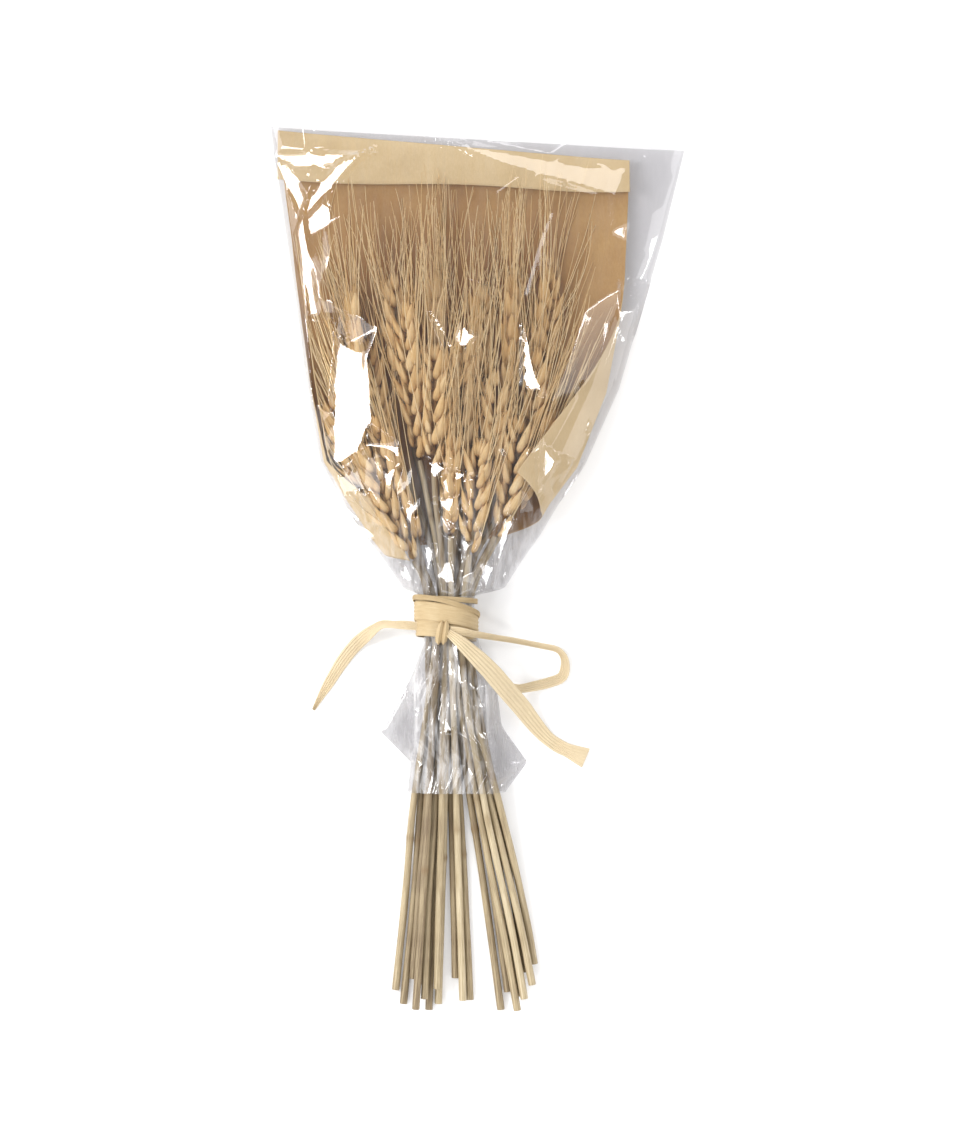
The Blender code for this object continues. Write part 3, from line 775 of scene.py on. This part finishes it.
# Awns stay under the film and the folded side, above the liner and its turned-down edge, and within
# its sides
def keepInSleeve(path):
    x, y, z = path[..., 0], path[..., 1], path[..., 2]
    leftGap, rightGap = awn["sideGaps"]
    left, right = paperAt(y, "left") + leftGap * mm, paperAt(y, "right") - rightGap * mm
    x = np.clip(x, left, right)
    roof = domeHeight(x, y, awn["roofDrop"] * mm) - awn["roofGap"] * mm
    flapShare = np.clip((2 * x - left - right) / (right - left) * 3 - 1, 0, 1)
    flapShare = flapShare * fade(y, awn["flapTop"] * mm, -awn["flapFade"] * mm)
    roof = roof - flapShare * awn["flapDrop"] * mm
    bed = np.where(y > awn["foldStart"] * mm, awn["foldHeight"] * mm, awn["sheetHeight"] * mm)
    z = np.maximum(np.minimum(z, roof), bed)
    return np.stack([x, y, z], axis=-1)


paper = {  # millimetres: side edges along Y, and how far round each side is folded over, in degrees
    "y": [4, 14, 34, 54, 94, 134, 165, 219],
    "left": [-44, -52, -65, -77, -84, -89.5, -94, -103],
    "right": [19, 25, 36, 50, 64.5, 71.5, 75, 79],
    "leftFold": [48, 48, 42, 14, 4, 0, -8, -14],
    "rightFold": [60, 60, 60, 56, 36, 8, -8, -14],
    "lowAt": [0.0, 0.6, 0.85, 1.0],  # lower edge, at shares of the way from the left flap to the right one
    "low": [4.0, 16.0, 30.0, 50.0],
    "topSlant": 15.0,
    "slantFrom": -99,  # from the mouth's left corner, across its width
    "slantWidth": 175,
    "lift": 0.8,
    "drop": 5.6,
    "foldRadius": 0.9,
    "foldDepth": (24.0, 15.0),  # left and right
    "foldOpen": 2.6,
    "bendShare": 0.3,
    "foldWave": (0.8, 9),  # height, and waves across the mouth
    "foldRipple": (0.5, 14),
    "wave": 0.5,
    "lowest": 0.8,
    "thickness": 0.22,
    # cells of flat triangles: across, along, turn in degrees, height
    "creases": [(14.0, 22.0, 35, 0.7), (40.0, 60.0, -20, 1.0)],
    "seed": 3,
    "columns": 220,
    "rows": 180,
    "foldRows": 14,
    # painted shade under the ears: its middle and reach
    "paintedShadeMiddle": (-15, 95),
    "paintedShadeReach": (62, 88),
}


def paperAt(y, key):
    value = np.interp(y / mm, paper["y"], paper[key])
    return value if key.endswith("Fold") else value * mm


# Sheet whose section at each place along Y is part of the sleeve's loop: u turns from the left flap, down
# round the flat back, to the right flap. Past the top edge it turns over in a half circle and comes down
# again in front of itself.
def buildLiner(inner, outer):
    columns, rows, foldRows = paper["columns"], paper["rows"], paper["foldRows"]
    u = np.linspace(0, 1, columns)[None, :]
    v = np.concatenate([np.linspace(0, 1, rows), np.ones(foldRows)])[:, None]
    low = np.interp(u, paper["lowAt"], paper["low"]) * mm
    top = paper["y"][-1] * mm
    y = low + (top - low) * v
    left, right = paperAt(y, "left"), paperAt(y, "right")
    leftFold, rightFold = np.radians(paperAt(y, "leftFold")), np.radians(paperAt(y, "rightFold"))
    turn = (math.pi - leftFold) + u * (math.pi + leftFold + rightFold)
    x = (left + right) / 2 + (right - left) / 2 * np.cos(turn)
    rise = np.sin(turn)
    seam, flatness = sleeveAt(y, "seam"), sleeveAt(y, "flatness")
    base = sleeveAt(y, "base") + paper["lift"] * mm
    peak = sleeveAt(y, "top") - paper["drop"] * mm
    z = np.where(rise >= 0,
                 seam + (peak - seam) * np.abs(rise) ** (1 / flatness),
                 seam - (seam - base) * np.minimum(1, np.abs(rise) * flatness))
    draw = np.random.default_rng(paper["seed"])
    crease = sum(creaseHeight(x / mm, y / mm, across, along, bent, draw) * height
                 for across, along, bent, height in paper["creases"]) * mm
    z = z + np.where(rise > 0, crease * np.clip(rise * 4, 0, 1), np.abs(crease) * 0.4)
    share = (x - paper["slantFrom"] * mm) / (paper["slantWidth"] * mm)
    y = y - paper["topSlant"] * mm * share * np.clip(y, 0, None) / top
    wave = paper["wave"] * mm * (np.sin(x * 75 + y * 20) + 0.6 * np.sin(x * 43 - y * 61 + 2))
    z = z + np.where(rise < 0, np.abs(wave), 0) * np.clip(y / (60 * mm), 0, 1)

    radius = paper["foldRadius"] * mm
    leftDepth, rightDepth = paper["foldDepth"]
    waveHeight, waves = paper["foldWave"]
    rippleHeight, ripples = paper["foldRipple"]
    foldShare = share[-foldRows:]
    depth = (leftDepth + (rightDepth - leftDepth) * foldShare) * mm
    depth = depth + waveHeight * mm * np.sin(foldShare * waves)
    run = np.linspace(0, 1, foldRows)[:, None]
    bend = np.clip(run / paper["bendShare"], 0, 1) * math.pi
    down = np.clip((run - paper["bendShare"]) / (1 - paper["bendShare"]), 0, 1)
    y[-foldRows:] += radius * np.sin(bend) - depth * down
    z[-foldRows:] += (radius * (1 - np.cos(bend)) + paper["foldOpen"] * mm * down**1.5
                      + rippleHeight * mm * np.sin(foldShare * ripples) * down)
    z = np.maximum(z, paper["lowest"] * mm)
    points = np.stack([x, y, z], axis=-1).reshape(-1, 3)
    piece = placeMesh("paper_liner", points, gridFaces(rows + foldRows, columns))
    middleX, middleY = paper["paintedShadeMiddle"]
    reachX, reachY = paper["paintedShadeReach"]
    # painted shade: 1 under the middle of the ears, falling to 0 outwards
    stain = np.exp(-((x / mm - middleX) / reachX) ** 4 - ((y / mm - middleY) / reachY) ** 4)
    addAttribute(piece, "stain", stain)
    wall = piece.modifiers.new("wall", "SOLIDIFY")
    wall.thickness = paper["thickness"] * mm
    wall.offset = 0.0
    wall.material_offset = 1
    wall.material_offset_rim = 1
    dress(piece, inner, "kraft_paper_liner")
    piece.data.materials.append(outer)
    print("paper liner made")


# Cell numbers, and place in the cell, of points on a turned and gently warped lattice
def lattice(p, q, cellP, cellQ, turn):
    p = p + 0.10 * cellP * np.sin(q / cellQ * 1.7 + 1.0)
    q = q + 0.10 * cellQ * np.sin(p / cellP * 1.3 + 2.0)
    across = (p * math.cos(turn) + q * math.sin(turn)) / cellP
    along = (q * math.cos(turn) - p * math.sin(turn)) / cellQ
    i, j = np.floor(across).astype(int), np.floor(along).astype(int)
    return i, j, across - i, along - j


# Straight between the corners of a cell cut along one diagonal or the other
def overTriangles(a, b, flip, low, right, above, far):
    falling = np.where(a + b <= 1, low + a * (right - low) + b * (above - low),
                       far + (1 - a) * (above - far) + (1 - b) * (right - far))
    rising = np.where(a >= b, low + a * (right - low) + b * (far - right),
                      low + b * (above - low) + a * (far - above))
    return np.where(flip, falling, rising)


# Height, from -1 to 1, of a sheet of flat triangles with a random height at each corner
def creaseHeight(p, q, cellP, cellQ, turn, draw):
    i, j, a, b = lattice(p, q, cellP, cellQ, math.radians(turn))
    i, j = i - i.min(), j - j.min()
    heights = draw.uniform(-1, 1, (j.max() + 2, i.max() + 2))
    flip = draw.random(heights.shape)[j, i] < 0.5
    return overTriangles(a, b, flip, heights[j, i], heights[j, i + 1],
                         heights[j + 1, i], heights[j + 1, i + 1])


film = {  # millimetres
    "frontColumns": 230,
    "backColumns": 60,
    "rows": 300,
    "seed": 5,
    "sharpAngle": 25,
    "marks": [-112, -60, -40, -36, -15, -10, 6, 30, 50, 58, 80, 120, 222],
    # flat facets: cell across and along, turn in degrees, then how far corners are moved at the marks
    "largeFacets": (31.0, 46.0, -22, [0.6, 0.4, 0, 0, 0, 0, 0.6, 1.0, 1.2, 1.8, 2.0, 1.5, 0.8]),
    "smallFacets": (9.5, 13.0, 27, [2.0, 1.8, 0.6, 0, 0, 0.7, 2.4, 2.6, 2.2, 1.5, 1.0, 1.0, 1.0]),
    # each fade is a mark and the stretch past it
    "largeFade": (56.0, 6.0),  # large facets above, small ones below
    # share of painted sheen at the marks
    "paintedSheen": [0.34, 0.36, 0.28, 0.2, 0.2, 0.22, 0.22, 0.08, 0.04, 0.02, 0.012, 0.012, 0.03],
    "lift": 1.6,
    "dip": 4.0,  # how far the film may sag under its own dome where the folded paper lies close below
    "freeDip": 9.0,  # and how much further elsewhere
    "neckMiddle": -25.5,
    "neckFade": (12, 12),  # smooth under the ribbon
    "edgeFade": (0, 0.16),  # and along the side seams
    "sideFade": (0.6, 0.25),  # where pleats of the sides only set in
    "skirtMiddle": -13.0,
    "stemsFade": (18.0, 4),  # past the stems the skirt's wings lie flat
    "wingCalm": 0.9,
    "calmFade": (-40, -6),
    "wingFade": (-46, -8),
    "hemFade": (-108, 6),
    "wingLift": 2.0,
    "wingDip": 30,
    "leftPaperFade": (80, -20),  # folded paper lies below these marks
    "rightPaperFade": (150, -15),
    "dimples": (26.0, 40.0, 15, 0.6),  # in the back: cell across and along, turn, height
    # pleats that narrow towards the neck: cell across (100 from the middle to a side), cell along, height
    # at the marks, and how much of them the middle of the bag has
    "pleats": [
        (19.0, 38.0, [2.4, 2.2, 0.8, 0.1, 0.1, 0.9, 2.6, 2.4, 1.4, 0.5, 0.2, 0.1, 0.1], 1.0),
        (13.0, 60.0, [2.0, 2.0, 0.9, 0, 0, 0, 0, 0, 0, 0, 0, 0, 0], 1.0),
        (8.0, 120.0, [0.7, 0.7, 0.3, 0.1, 0.1, 0.3, 0.9, 1.0, 1.0, 1.0, 1.0, 0.9, 0.7], 0.0),
    ],
    # flat plates between creases: corners, and the softbox that each mirrors
    "plates": [
        ([(-68, 114), (-58, 108), (-52.8, 75), (-58.8, 59), (-67.8, 52.8), (-72, 54), (-71, 78), (-71, 104)],
         "key"),
        ([(-103, 208), (-58, 208), (-68, 203), (-93, 201.5)], "key"),
        ([(-58, 208), (-84.5, 178), (-88.5, 180), (-69, 203)], "key"),
        ([(-101, 204), (-94, 201), (-86, 185), (-88, 178)], "key"),
        ([(23, 116), (32, 90), (23, 93)], "key"),
        ([(52, 93), (56.5, 90), (55, 71), (50, 76)], "key"),
        ([(-7.5, 124), (-1, 117), (-9, 111)], "key"),
        ([(-18, 120), (-12, 112), (-14, 111)], "key"),
        ([(-24, 54), (-14, 51), (-22, 46)], "key"),
        ([(-12, 50), (-4, 47), (-10, 44)], "glintTop"),
        ([(-87, 176), (-79, 122), (-82, 123), (-89.5, 168)], "key"),
        ([(-24, 219), (72, 207), (68, 194), (12, 207)], "overTop"),
        ([(-70, 46), (-60, 50), (-56, 40), (-66, 36)], "overLeft"),
        ([(44, 44), (52, 60), (49, 40), (42, 32)], "key"),
        ([(-85, 124), (-71.5, 124), (-74, 82), (-82, 82)], "dark"),
        ([(72, 148), (86, 150), (83, 122), (74, 122)], "dark"),
        ([(-47, 47), (-43, 40), (-40, 50)], "key"),
        ([(-68, 26), (-57, 22), (-60, 33)], "glintTop"),
        ([(-60, 22), (-53, 14), (-50, 20)], "key"),
        ([(-36, 30), (-31, 33), (-33, 22)], "key"),
        ([(-20, 34), (-13, 30), (-11, 36)], "key"),
        ([(-16, 26), (-9, 20), (-14, 19)], "glintTop"),
        ([(-9, 16), (-3, 12), (-6, 8)], "key"),
        ([(-26, 12), (-22, 10), (-24, -3)], "key"),
        ([(-20, -4), (-11, -8), (-14, 4)], "glintLow"),
        ([(-52, -1), (-45, -3), (-48, 5)], "key"),
        ([(-38, -4), (-33, -7), (-36, 3)], "key"),
        ([(0, 4), (8, 1), (4, -9)], "key"),
        ([(13, 26), (17, 24), (10, 2)], "key"),
        ([(33, 62), (39, 55), (33, 46)], "key"),
    ],
    "plateEdge": 2.2,
}


# Height of flat triangles whose corners lie on the sleeve's dome, each moved up or down a little
def facetHeight(x, y, facets, draw):
    cellX, cellY, turn, lifts = facets
    turn = math.radians(turn)
    i, j, a, b = lattice(x / mm, y / mm, cellX, cellY, turn)
    firstI, firstJ = i.min(), j.min()
    moves = draw.uniform(-1, 1, (j.max() - firstJ + 2, i.max() - firstI + 2))
    flip = draw.random(moves.shape)[j - firstJ, i - firstI] < 0.5

    def corner(right, above):
        p, q = (i + right) * cellX, (j + above) * cellY
        cornerX = (p * math.cos(turn) - q * math.sin(turn)) * mm
        cornerY = (p * math.sin(turn) + q * math.cos(turn)) * mm
        lift = np.interp(cornerY / mm, film["marks"], lifts) * mm
        return domeHeight(cornerX, cornerY) + lift * moves[j + above - firstJ, i + right - firstI]

    return overTriangles(a, b, flip, corner(0, 0), corner(1, 0), corner(0, 1), corner(1, 1))


# Slope across and along at which the film mirrors a softbox to the camera: the surface faces half way
# between the two directions
def mirrorSlope(place, softbox):
    lit = studio["darkPlace"] if softbox == "dark" else studio["softboxes"][softbox][0]
    half = unit(np.array(lit) - place) + unit(np.array(cameraPlace()) - place)
    return -half[0] / half[2], -half[1] / half[2]


# Surface with each plate's plane laid in: full inside its corners, fading over its edge
def laidPlates(x, y, z):
    for corners, softbox in film["plates"]:
        corners = np.array(corners) * mm
        middle = corners.mean(axis=0)
        edge = np.roll(corners, -1, axis=0) - corners
        normal = unit(np.stack([edge[:, 1], -edge[:, 0]], axis=1))
        normal *= np.sign(((middle - corners) * normal).sum(axis=1, keepdims=True))
        inside = np.min([(x - c[0]) * n[0] + (y - c[1]) * n[1] for c, n in zip(corners, normal)], axis=0)
        share = np.clip(inside / (film["plateEdge"] * mm) + 1, 0, 1)
        whole = share >= 1
        if not whole.any():
            continue
        height = z[whole].mean()
        acrossSlope, alongSlope = mirrorSlope(np.array([*middle, height]), softbox)
        plane = height + acrossSlope * (x - x[whole].mean()) + alongSlope * (y - y[whole].mean())
        z = z + (plane - z) * share
    return z


# Points of the film for places from one side seam (-1) to the other (1) and along Y: front and back
def filmSheet(across, y):
    left, right = sleeveAt(y, "left"), sleeveAt(y, "right")
    x = (left + right) / 2 + (right - left) / 2 * across
    seam, base, flatness = sleeveAt(y, "seam"), sleeveAt(y, "base"), sleeveAt(y, "flatness")
    openShare = np.sqrt(np.clip(1 - across**2, 0, 1))
    front = seam + (sleeveAt(y, "top") - seam) * openShare ** (1 / flatness)
    back = seam - (seam - base) * np.minimum(1, flatness * openShare)
    return x, front, back, openShare


# Height of the film's front: the dome, cut into flat facets, pleated, and pressed flat in the skirt's
# wings, with the plates laid in. Gives the height and how much the facets and pleats are left in.
def frontHeight(x, across, y, front, openShare, draw):
    large = facetHeight(x, y, film["largeFacets"], draw)
    small = facetHeight(x, y, film["smallFacets"], draw)
    facets = small + (large - small) * fade(y / mm, *film["largeFade"])
    offEdge = fade(1 - np.abs(across), *film["edgeFade"])
    offNeck = fade(np.abs(y / mm - film["neckMiddle"]), *film["neckFade"])
    outOfStems = fade(np.abs(x / mm - film["skirtMiddle"]), *film["stemsFade"])
    calm = 1 - film["wingCalm"] * outOfStems * fade(y / mm, *film["calmFade"])
    z = front + (facets + film["lift"] * mm - front) * offEdge * offNeck * calm
    for cellP, cellQ, heights, middle in film["pleats"]:
        depth = np.interp(y / mm, film["marks"], heights) * mm
        sideShare = middle + (1 - middle) * fade(np.abs(across), *film["sideFade"])
        pleats = creaseHeight(across * 100, y / mm, cellP, cellQ, 0, draw)
        z = z + depth * pleats * sideShare * openShare**0.7 * calm
    wing = outOfStems * fade(y / mm, *film["wingFade"]) * fade(y / mm, *film["hemFade"])
    z = z + (sleeveAt(y, "seam") + film["wingLift"] * mm * openShare - z) * wing
    z = laidPlates(x, y, z)
    overPaper = np.where(across < 0, fade(y / mm, *film["leftPaperFade"]),
                         fade(y / mm, *film["rightPaperFade"]))
    dip = film["dip"] + film["freeDip"] * (1 - overPaper) + film["wingDip"] * wing
    return np.maximum(z, front - dip * mm * openShare), calm


# Closed loop of film, front then back, at each place along Y: columns crowd towards the side seams by a
# sine, the front is frontHeight's and the back is flat with shallow dimples
def buildFilm(finish):
    draw = np.random.default_rng(film["seed"])
    y = np.linspace(sleeve["y"][0], sleeve["y"][-1], film["rows"])[:, None] * mm
    frontAcross = np.sin(np.linspace(-1, 1, film["frontColumns"]) * math.pi / 2)[None, :]
    backAcross = np.sin(np.linspace(1, -1, film["backColumns"] + 2)[1:-1] * math.pi / 2)[None, :]
    frontAcross, frontY = np.broadcast_arrays(frontAcross, y)
    backAcross, backY = np.broadcast_arrays(backAcross, y)
    frontX, front, _, frontShare = filmSheet(frontAcross, frontY)
    frontZ, calm = frontHeight(frontX, frontAcross, frontY, front, frontShare, draw)
    backX, _, back, backShare = filmSheet(backAcross, backY)
    cellX, cellY, turn, height = film["dimples"]
    dimple = creaseHeight(backX / mm, backY / mm, cellX, cellY, turn, draw)
    backZ = back + np.clip(dimple, 0, 1) * height * mm * backShare
    x = np.concatenate([frontX, backX], axis=1)
    y = np.concatenate([frontY, backY], axis=1)
    z = np.maximum(np.concatenate([frontZ, backZ], axis=1), 0.1 * mm)
    share = (x / mm + sleeve["mouthHalf"]) / (2 * sleeve["mouthHalf"])
    y = y - sleeve["mouthSlant"] * mm * share * np.clip(y, 0, None) / (sleeve["y"][-1] * mm)
    points = np.stack([x, y, z], axis=-1)
    rows, columns = x.shape
    row = np.arange(rows - 1)[:, None] * columns
    piece = placeMesh("film", points.reshape(-1, 3), hoopFaces(row, row + columns, columns))
    piece.data.set_sharp_from_angle(angle=math.radians(film["sharpAngle"]))
    # painted sheen: its share at each place along the sleeve, less where the wings lie calm
    wrinkles = np.interp(y / mm, film["marks"], film["paintedSheen"])
    wrinkles[:, :calm.shape[1]] *= calm
    addAttribute(piece, "wrinkles", wrinkles)
    dress(piece, finish, "film_sleeve")
    print("film made")


ribbon = {  # millimetres, except the routes, which are in metres
    "thickness": 0.45,
    "columns": 17,
    "pleats": 5,
    "pleatDepth": 0.28,
    "sharpAngle": 35,
    "routeRows": 60,
    # free ends and loop: the node each stands for, its route, width, shares of the width and rolls in
    # degrees along it
    "ends": {
        "ribbon_tail_left": {
            "node": "ribbon_left_tail", "farEnd": "bare",
            "route": [(-0.0225, -0.0295, 0.0216), (-0.0280, -0.0290, 0.0172), (-0.0345, -0.0283, 0.0150),
                      (-0.0415, -0.0278, 0.0115), (-0.0480, -0.0280, 0.0078), (-0.0530, -0.0312, 0.0045),
                      (-0.0590, -0.0362, 0.0020), (-0.0640, -0.0415, 0.0010), (-0.0690, -0.0482, 0.0006),
                      (-0.0735, -0.0555, 0.0005), (-0.0782, -0.0632, 0.0005), (-0.0827, -0.0712, 0.0005)],
            "width": 6.5, "shares": [0.6, 0.65, 0.75, 0.95, 1.05, 1.0, 0.8, 0.25],
            "rolls": [0, 0, 50, 45, -10, -5, 0, 0],
        },
        "ribbon_tail_right": {
            "node": "ribbon_right_tail", "farEnd": "bare",
            "route": [(-0.0146, -0.0315, 0.0272), (-0.0090, -0.0358, 0.0285), (-0.0035, -0.0408, 0.0268),
                      (0.0020, -0.0462, 0.0245), (0.0075, -0.0520, 0.0210), (0.0125, -0.0580, 0.0170),
                      (0.0175, -0.0640, 0.0120), (0.0225, -0.0700, 0.0075), (0.0270, -0.0760, 0.0040),
                      (0.0315, -0.0815, 0.0020), (0.0360, -0.0860, 0.0012), (0.0415, -0.0898, 0.0007),
                      (0.0480, -0.0928, 0.0005), (0.0545, -0.0955, 0.0005)],
            "width": 9.5, "shares": [0.4, 0.72, 0.92, 1.0, 1.0, 0.97, 0.85, 0.72, 0.75, 1.1],
            "rolls": [0, -16, -14, -10, -8, -6, -8, -14, 20, 6],
        },
        "ribbon_bow_loop": {
            "node": "ribbon_loop", "farEnd": "object",
            "route": [(-0.0135, -0.0308, 0.0262), (-0.0080, -0.0312, 0.0268), (-0.0030, -0.0323, 0.0250),
                      (0.0020, -0.0332, 0.0222), (0.0090, -0.0345, 0.0175), (0.0165, -0.0358, 0.0115),
                      (0.0240, -0.0373, 0.0065), (0.0320, -0.0390, 0.0030), (0.0395, -0.0407, 0.0013),
                      (0.0430, -0.0440, 0.0008), (0.0440, -0.0490, 0.0006), (0.0425, -0.0545, 0.0006),
                      (0.0365, -0.0572, 0.0009), (0.0280, -0.0592, 0.0035), (0.0200, -0.0600, 0.0090),
                      (0.0125, -0.0568, 0.0150), (0.0065, -0.0502, 0.0192), (0.0015, -0.0446, 0.0226),
                      (-0.0035, -0.0395, 0.0248), (-0.0080, -0.0355, 0.0248)],
            "width": 5.5, "shares": [0.8, 0.65, 0.55, 0.55, 0.62, 1.0, 0.95, 0.65, 0.7, 0.9],
            "rolls": [0, 10, 20, 30, 35, 25, 12, 15, 0, 0],
        },
    },
    "neckMiddle": (-15.6, 13.0),
    "neckHalf": (15.0, 11.4),
    "turnRows": 96,
    # turns round the neck: middle along the neck, slant, width of the ribbon, how far out it lies
    "turns": [(-29.4, -1.6, 11.5, 0.0), (-24.2, -3.4, 9.5, 0.8),
              (-15.6, -1.0, 2.6, 0.5), (-19.0, -5.0, 2.4, 1.5)],
    "slantPhase": 0.6,  # radians
    "turnUvLength": 0.09,
    "knotMiddle": (-17.3, -31.6, 24.2),
    "knotHalf": (0.9, 5.4, 3.6),
    "knotWidth": (4.4, 1.6, 0.5),  # all over, then by the sine and the cosine of the angle
    "knotRows": 40,
    "knotPleats": 2,
    "knotPleatDepth": 0.75,
}


# Points read evenly from a Catmull-Rom curve through the knots
def smoothRoute(knots, count):
    knots = np.array(knots, float)
    padded = np.vstack([2 * knots[0] - knots[1], knots, 2 * knots[-1] - knots[-2]])
    spots = np.linspace(0, len(knots) - 1, count)
    which = np.minimum(spots.astype(int), len(knots) - 2)
    t = (spots - which)[:, None]
    a, b, c, d = (padded[which + k] for k in range(4))
    return 0.5 * (2 * b + (c - a) * t + (2 * a - 5 * b + 4 * c - d) * t**2 + (3 * b - a - 3 * c + d) * t**3)


# Ribbon carried along a route: its section is a thin closed band, pleated by a triangle wave. Gives points
# (rows, sides, 3) and each side's place across the width, from -1 to 1 and back.
def ribbonPoints(route, widths, across, face, pleats, pleatDepth):
    s = np.linspace(-1, 1, ribbon["columns"])
    pleat = pleatDepth * mm * (2 * np.abs((s * pleats) % 2 - 1) - 1)
    half = ribbon["thickness"] * mm / 2
    section = np.concatenate([s, s[::-1]])
    offset = np.concatenate([pleat + half, pleat[::-1] - half])
    points = (route[:, None, :] + 0.5 * widths[:, None, None] * section[None, :, None] * across[:, None, :]
              + offset[None, :, None] * face[:, None, :])
    return points, section


# Strip along an open route, closed by a pole at each end; level gives the direction of its width
def ribbonStrip(name, route, widths, level, pleats, pleatDepth):
    heading = unit(np.gradient(route, axis=0))
    across = unit(level - heading * (level * heading).sum(1, keepdims=True))
    points, section = ribbonPoints(route, widths, across, np.cross(heading, across), pleats, pleatDepth)
    rings, sides = points.shape[:2]
    points = np.concatenate([points.reshape(-1, 3), route[[0, -1]]])
    piece = placeMesh(name, points, tubeFaces(rings, sides))
    fixNormals(piece)
    piece.data.set_sharp_from_angle(angle=math.radians(ribbon["sharpAngle"]))
    run = np.concatenate([[0], np.cumsum(np.linalg.norm(np.diff(route, axis=0), axis=1))])
    u = np.concatenate([np.tile(section, rings), [0, 0]])
    v = np.concatenate([np.repeat(run, sides), [0, run[-1]]]) * 2
    addUv(piece, np.stack([u, v], axis=1))
    return piece


# Closed turn of ribbon round a loop
def ribbonTurn(name, route, width, finish):
    heading = unit(np.roll(route, -1, axis=0) - np.roll(route, 1, axis=0))
    across = unit(np.array([0.0, 1.0, 0.0]) - heading * heading[:, 1:2])
    points, section = ribbonPoints(route, np.full(len(route), width), across, np.cross(across, heading),
                                   ribbon["pleats"], ribbon["pleatDepth"])
    rings, sides = points.shape[:2]
    ring = np.arange(rings)[:, None] * sides
    piece = placeMesh(name, points.reshape(-1, 3), hoopFaces(ring, np.roll(ring, -1, axis=0), sides))
    fixNormals(piece)
    run = np.arange(rings) / rings * ribbon["turnUvLength"]
    addUv(piece, np.stack([np.tile(section, rings), np.repeat(run, sides) * 2], axis=1))
    piece.data.materials.append(finish)
    return piece


# Several meshes joined into the first
def joinPieces(pieces, name):
    for other in bpy.context.selected_objects:
        other.select_set(False)
    for piece in pieces:
        piece.select_set(True)
    bpy.context.view_layer.objects.active = pieces[0]
    bpy.ops.object.join()
    pieces[0].name = name
    pieces[0].data.name = name
    return pieces[0]


# Free end or loop: level across its heading, rolled about it, and lifted so that a rolled edge clears
# the floor
def buildRibbonEnd(name, end, finish):
    route = smoothRoute(end["route"], ribbon["routeRows"])
    heading = unit(np.gradient(route, axis=0))
    level = np.stack([-heading[:, 1], heading[:, 0], np.zeros(len(route))], axis=1)
    spots = np.linspace(0, 1, len(route))
    widths = end["width"] * mm * np.interp(spots, np.linspace(0, 1, len(end["shares"])), end["shares"])
    roll = np.radians(np.interp(spots, np.linspace(0, 1, len(end["rolls"])), end["rolls"]))[:, None]
    level = np.cos(roll) * level + np.sin(roll) * np.cross(heading, level)
    route[:, 2] += 0.5 * widths * np.abs(np.sin(roll[:, 0]))
    piece = ribbonStrip(name, route, widths, level, ribbon["pleats"], ribbon["pleatDepth"])
    addAttribute(piece, "pale", np.ones(len(piece.data.vertices)))
    dress(piece, finish, end["node"])
    end["width"] * mm


# Turns round the neck: ellipses (cos, sin) in X and Z that slant along Y
def buildRibbonWrap(finish):
    angle = np.linspace(0, 2 * math.pi, ribbon["turnRows"], endpoint=False)
    middleX, middleZ = ribbon["neckMiddle"]
    halfX, halfZ = ribbon["neckHalf"]
    pieces = []
    for number, (middle, slant, width, out) in enumerate(ribbon["turns"]):
        route = np.stack([middleX + (halfX + out) * np.cos(angle),
                          middle + slant * np.cos(angle + ribbon["slantPhase"]),
                          middleZ + (halfZ + out) * np.sin(angle)], axis=1) * mm
        pieces.append(ribbonTurn(f"turn{number}", route, width * mm, finish))
    wrap = joinPieces(pieces, "ribbon_wrap")
    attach(wrap, "root")
    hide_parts("ribbon_band")


# Knot: a short pleated strip bent over three quarters of an ellipse (cos, sin) in Y and Z
def buildRibbonKnot(finish):
    rows = ribbon["knotRows"]
    angle = np.linspace(-0.25 * math.pi, 1.25 * math.pi, rows)
    swing = np.stack([-np.cos(angle), -np.cos(angle), np.sin(angle)], axis=1)
    route = (np.array(ribbon["knotMiddle"]) + np.array(ribbon["knotHalf"]) * swing) * mm
    evenly, bySine, byCosine = ribbon["knotWidth"]
    widths = (evenly + bySine * np.sin(angle) + byCosine * np.cos(angle)) * mm
    level = np.tile([1.0, 0, 0], (rows, 1))
    knot = ribbonStrip("ribbon_tie_knot", route, widths, level,
                       ribbon["knotPleats"], ribbon["knotPleatDepth"])
    dress(knot, finish, "ribbon_knot")


def buildRibbon(finish):
    for name, end in ribbon["ends"].items():
        buildRibbonEnd(name, end, finish)
    print("ribbon ends made")
    buildRibbonWrap(finish)
    buildRibbonKnot(finish)
    print("ribbon wrapped")


buildStudio()
strawSkin, chaffSkin = strawFinish(), chaffFinish()
# inside of the liner: darker colours as painted shade, and painted shade under the ears
kraftInsidePaintedShade = kraftFinish("kraftInsidePaintedShade", "inside", kraftLook["paintedShadeShare"])
kraftOutside = kraftFinish("kraftOutside", "outside", 0.0)
raffia = raffiaFinish()
for number in range(1, stalkCount + 1):
    buildStraw(number, strawSkin)
print("straws made")
for number in range(1, stalkCount + 1):
    buildEar(number, chaffSkin)
print("ears made")
buildLiner(kraftInsidePaintedShade, kraftOutside)
buildFilm(filmFinish())
buildRibbon(raffia)
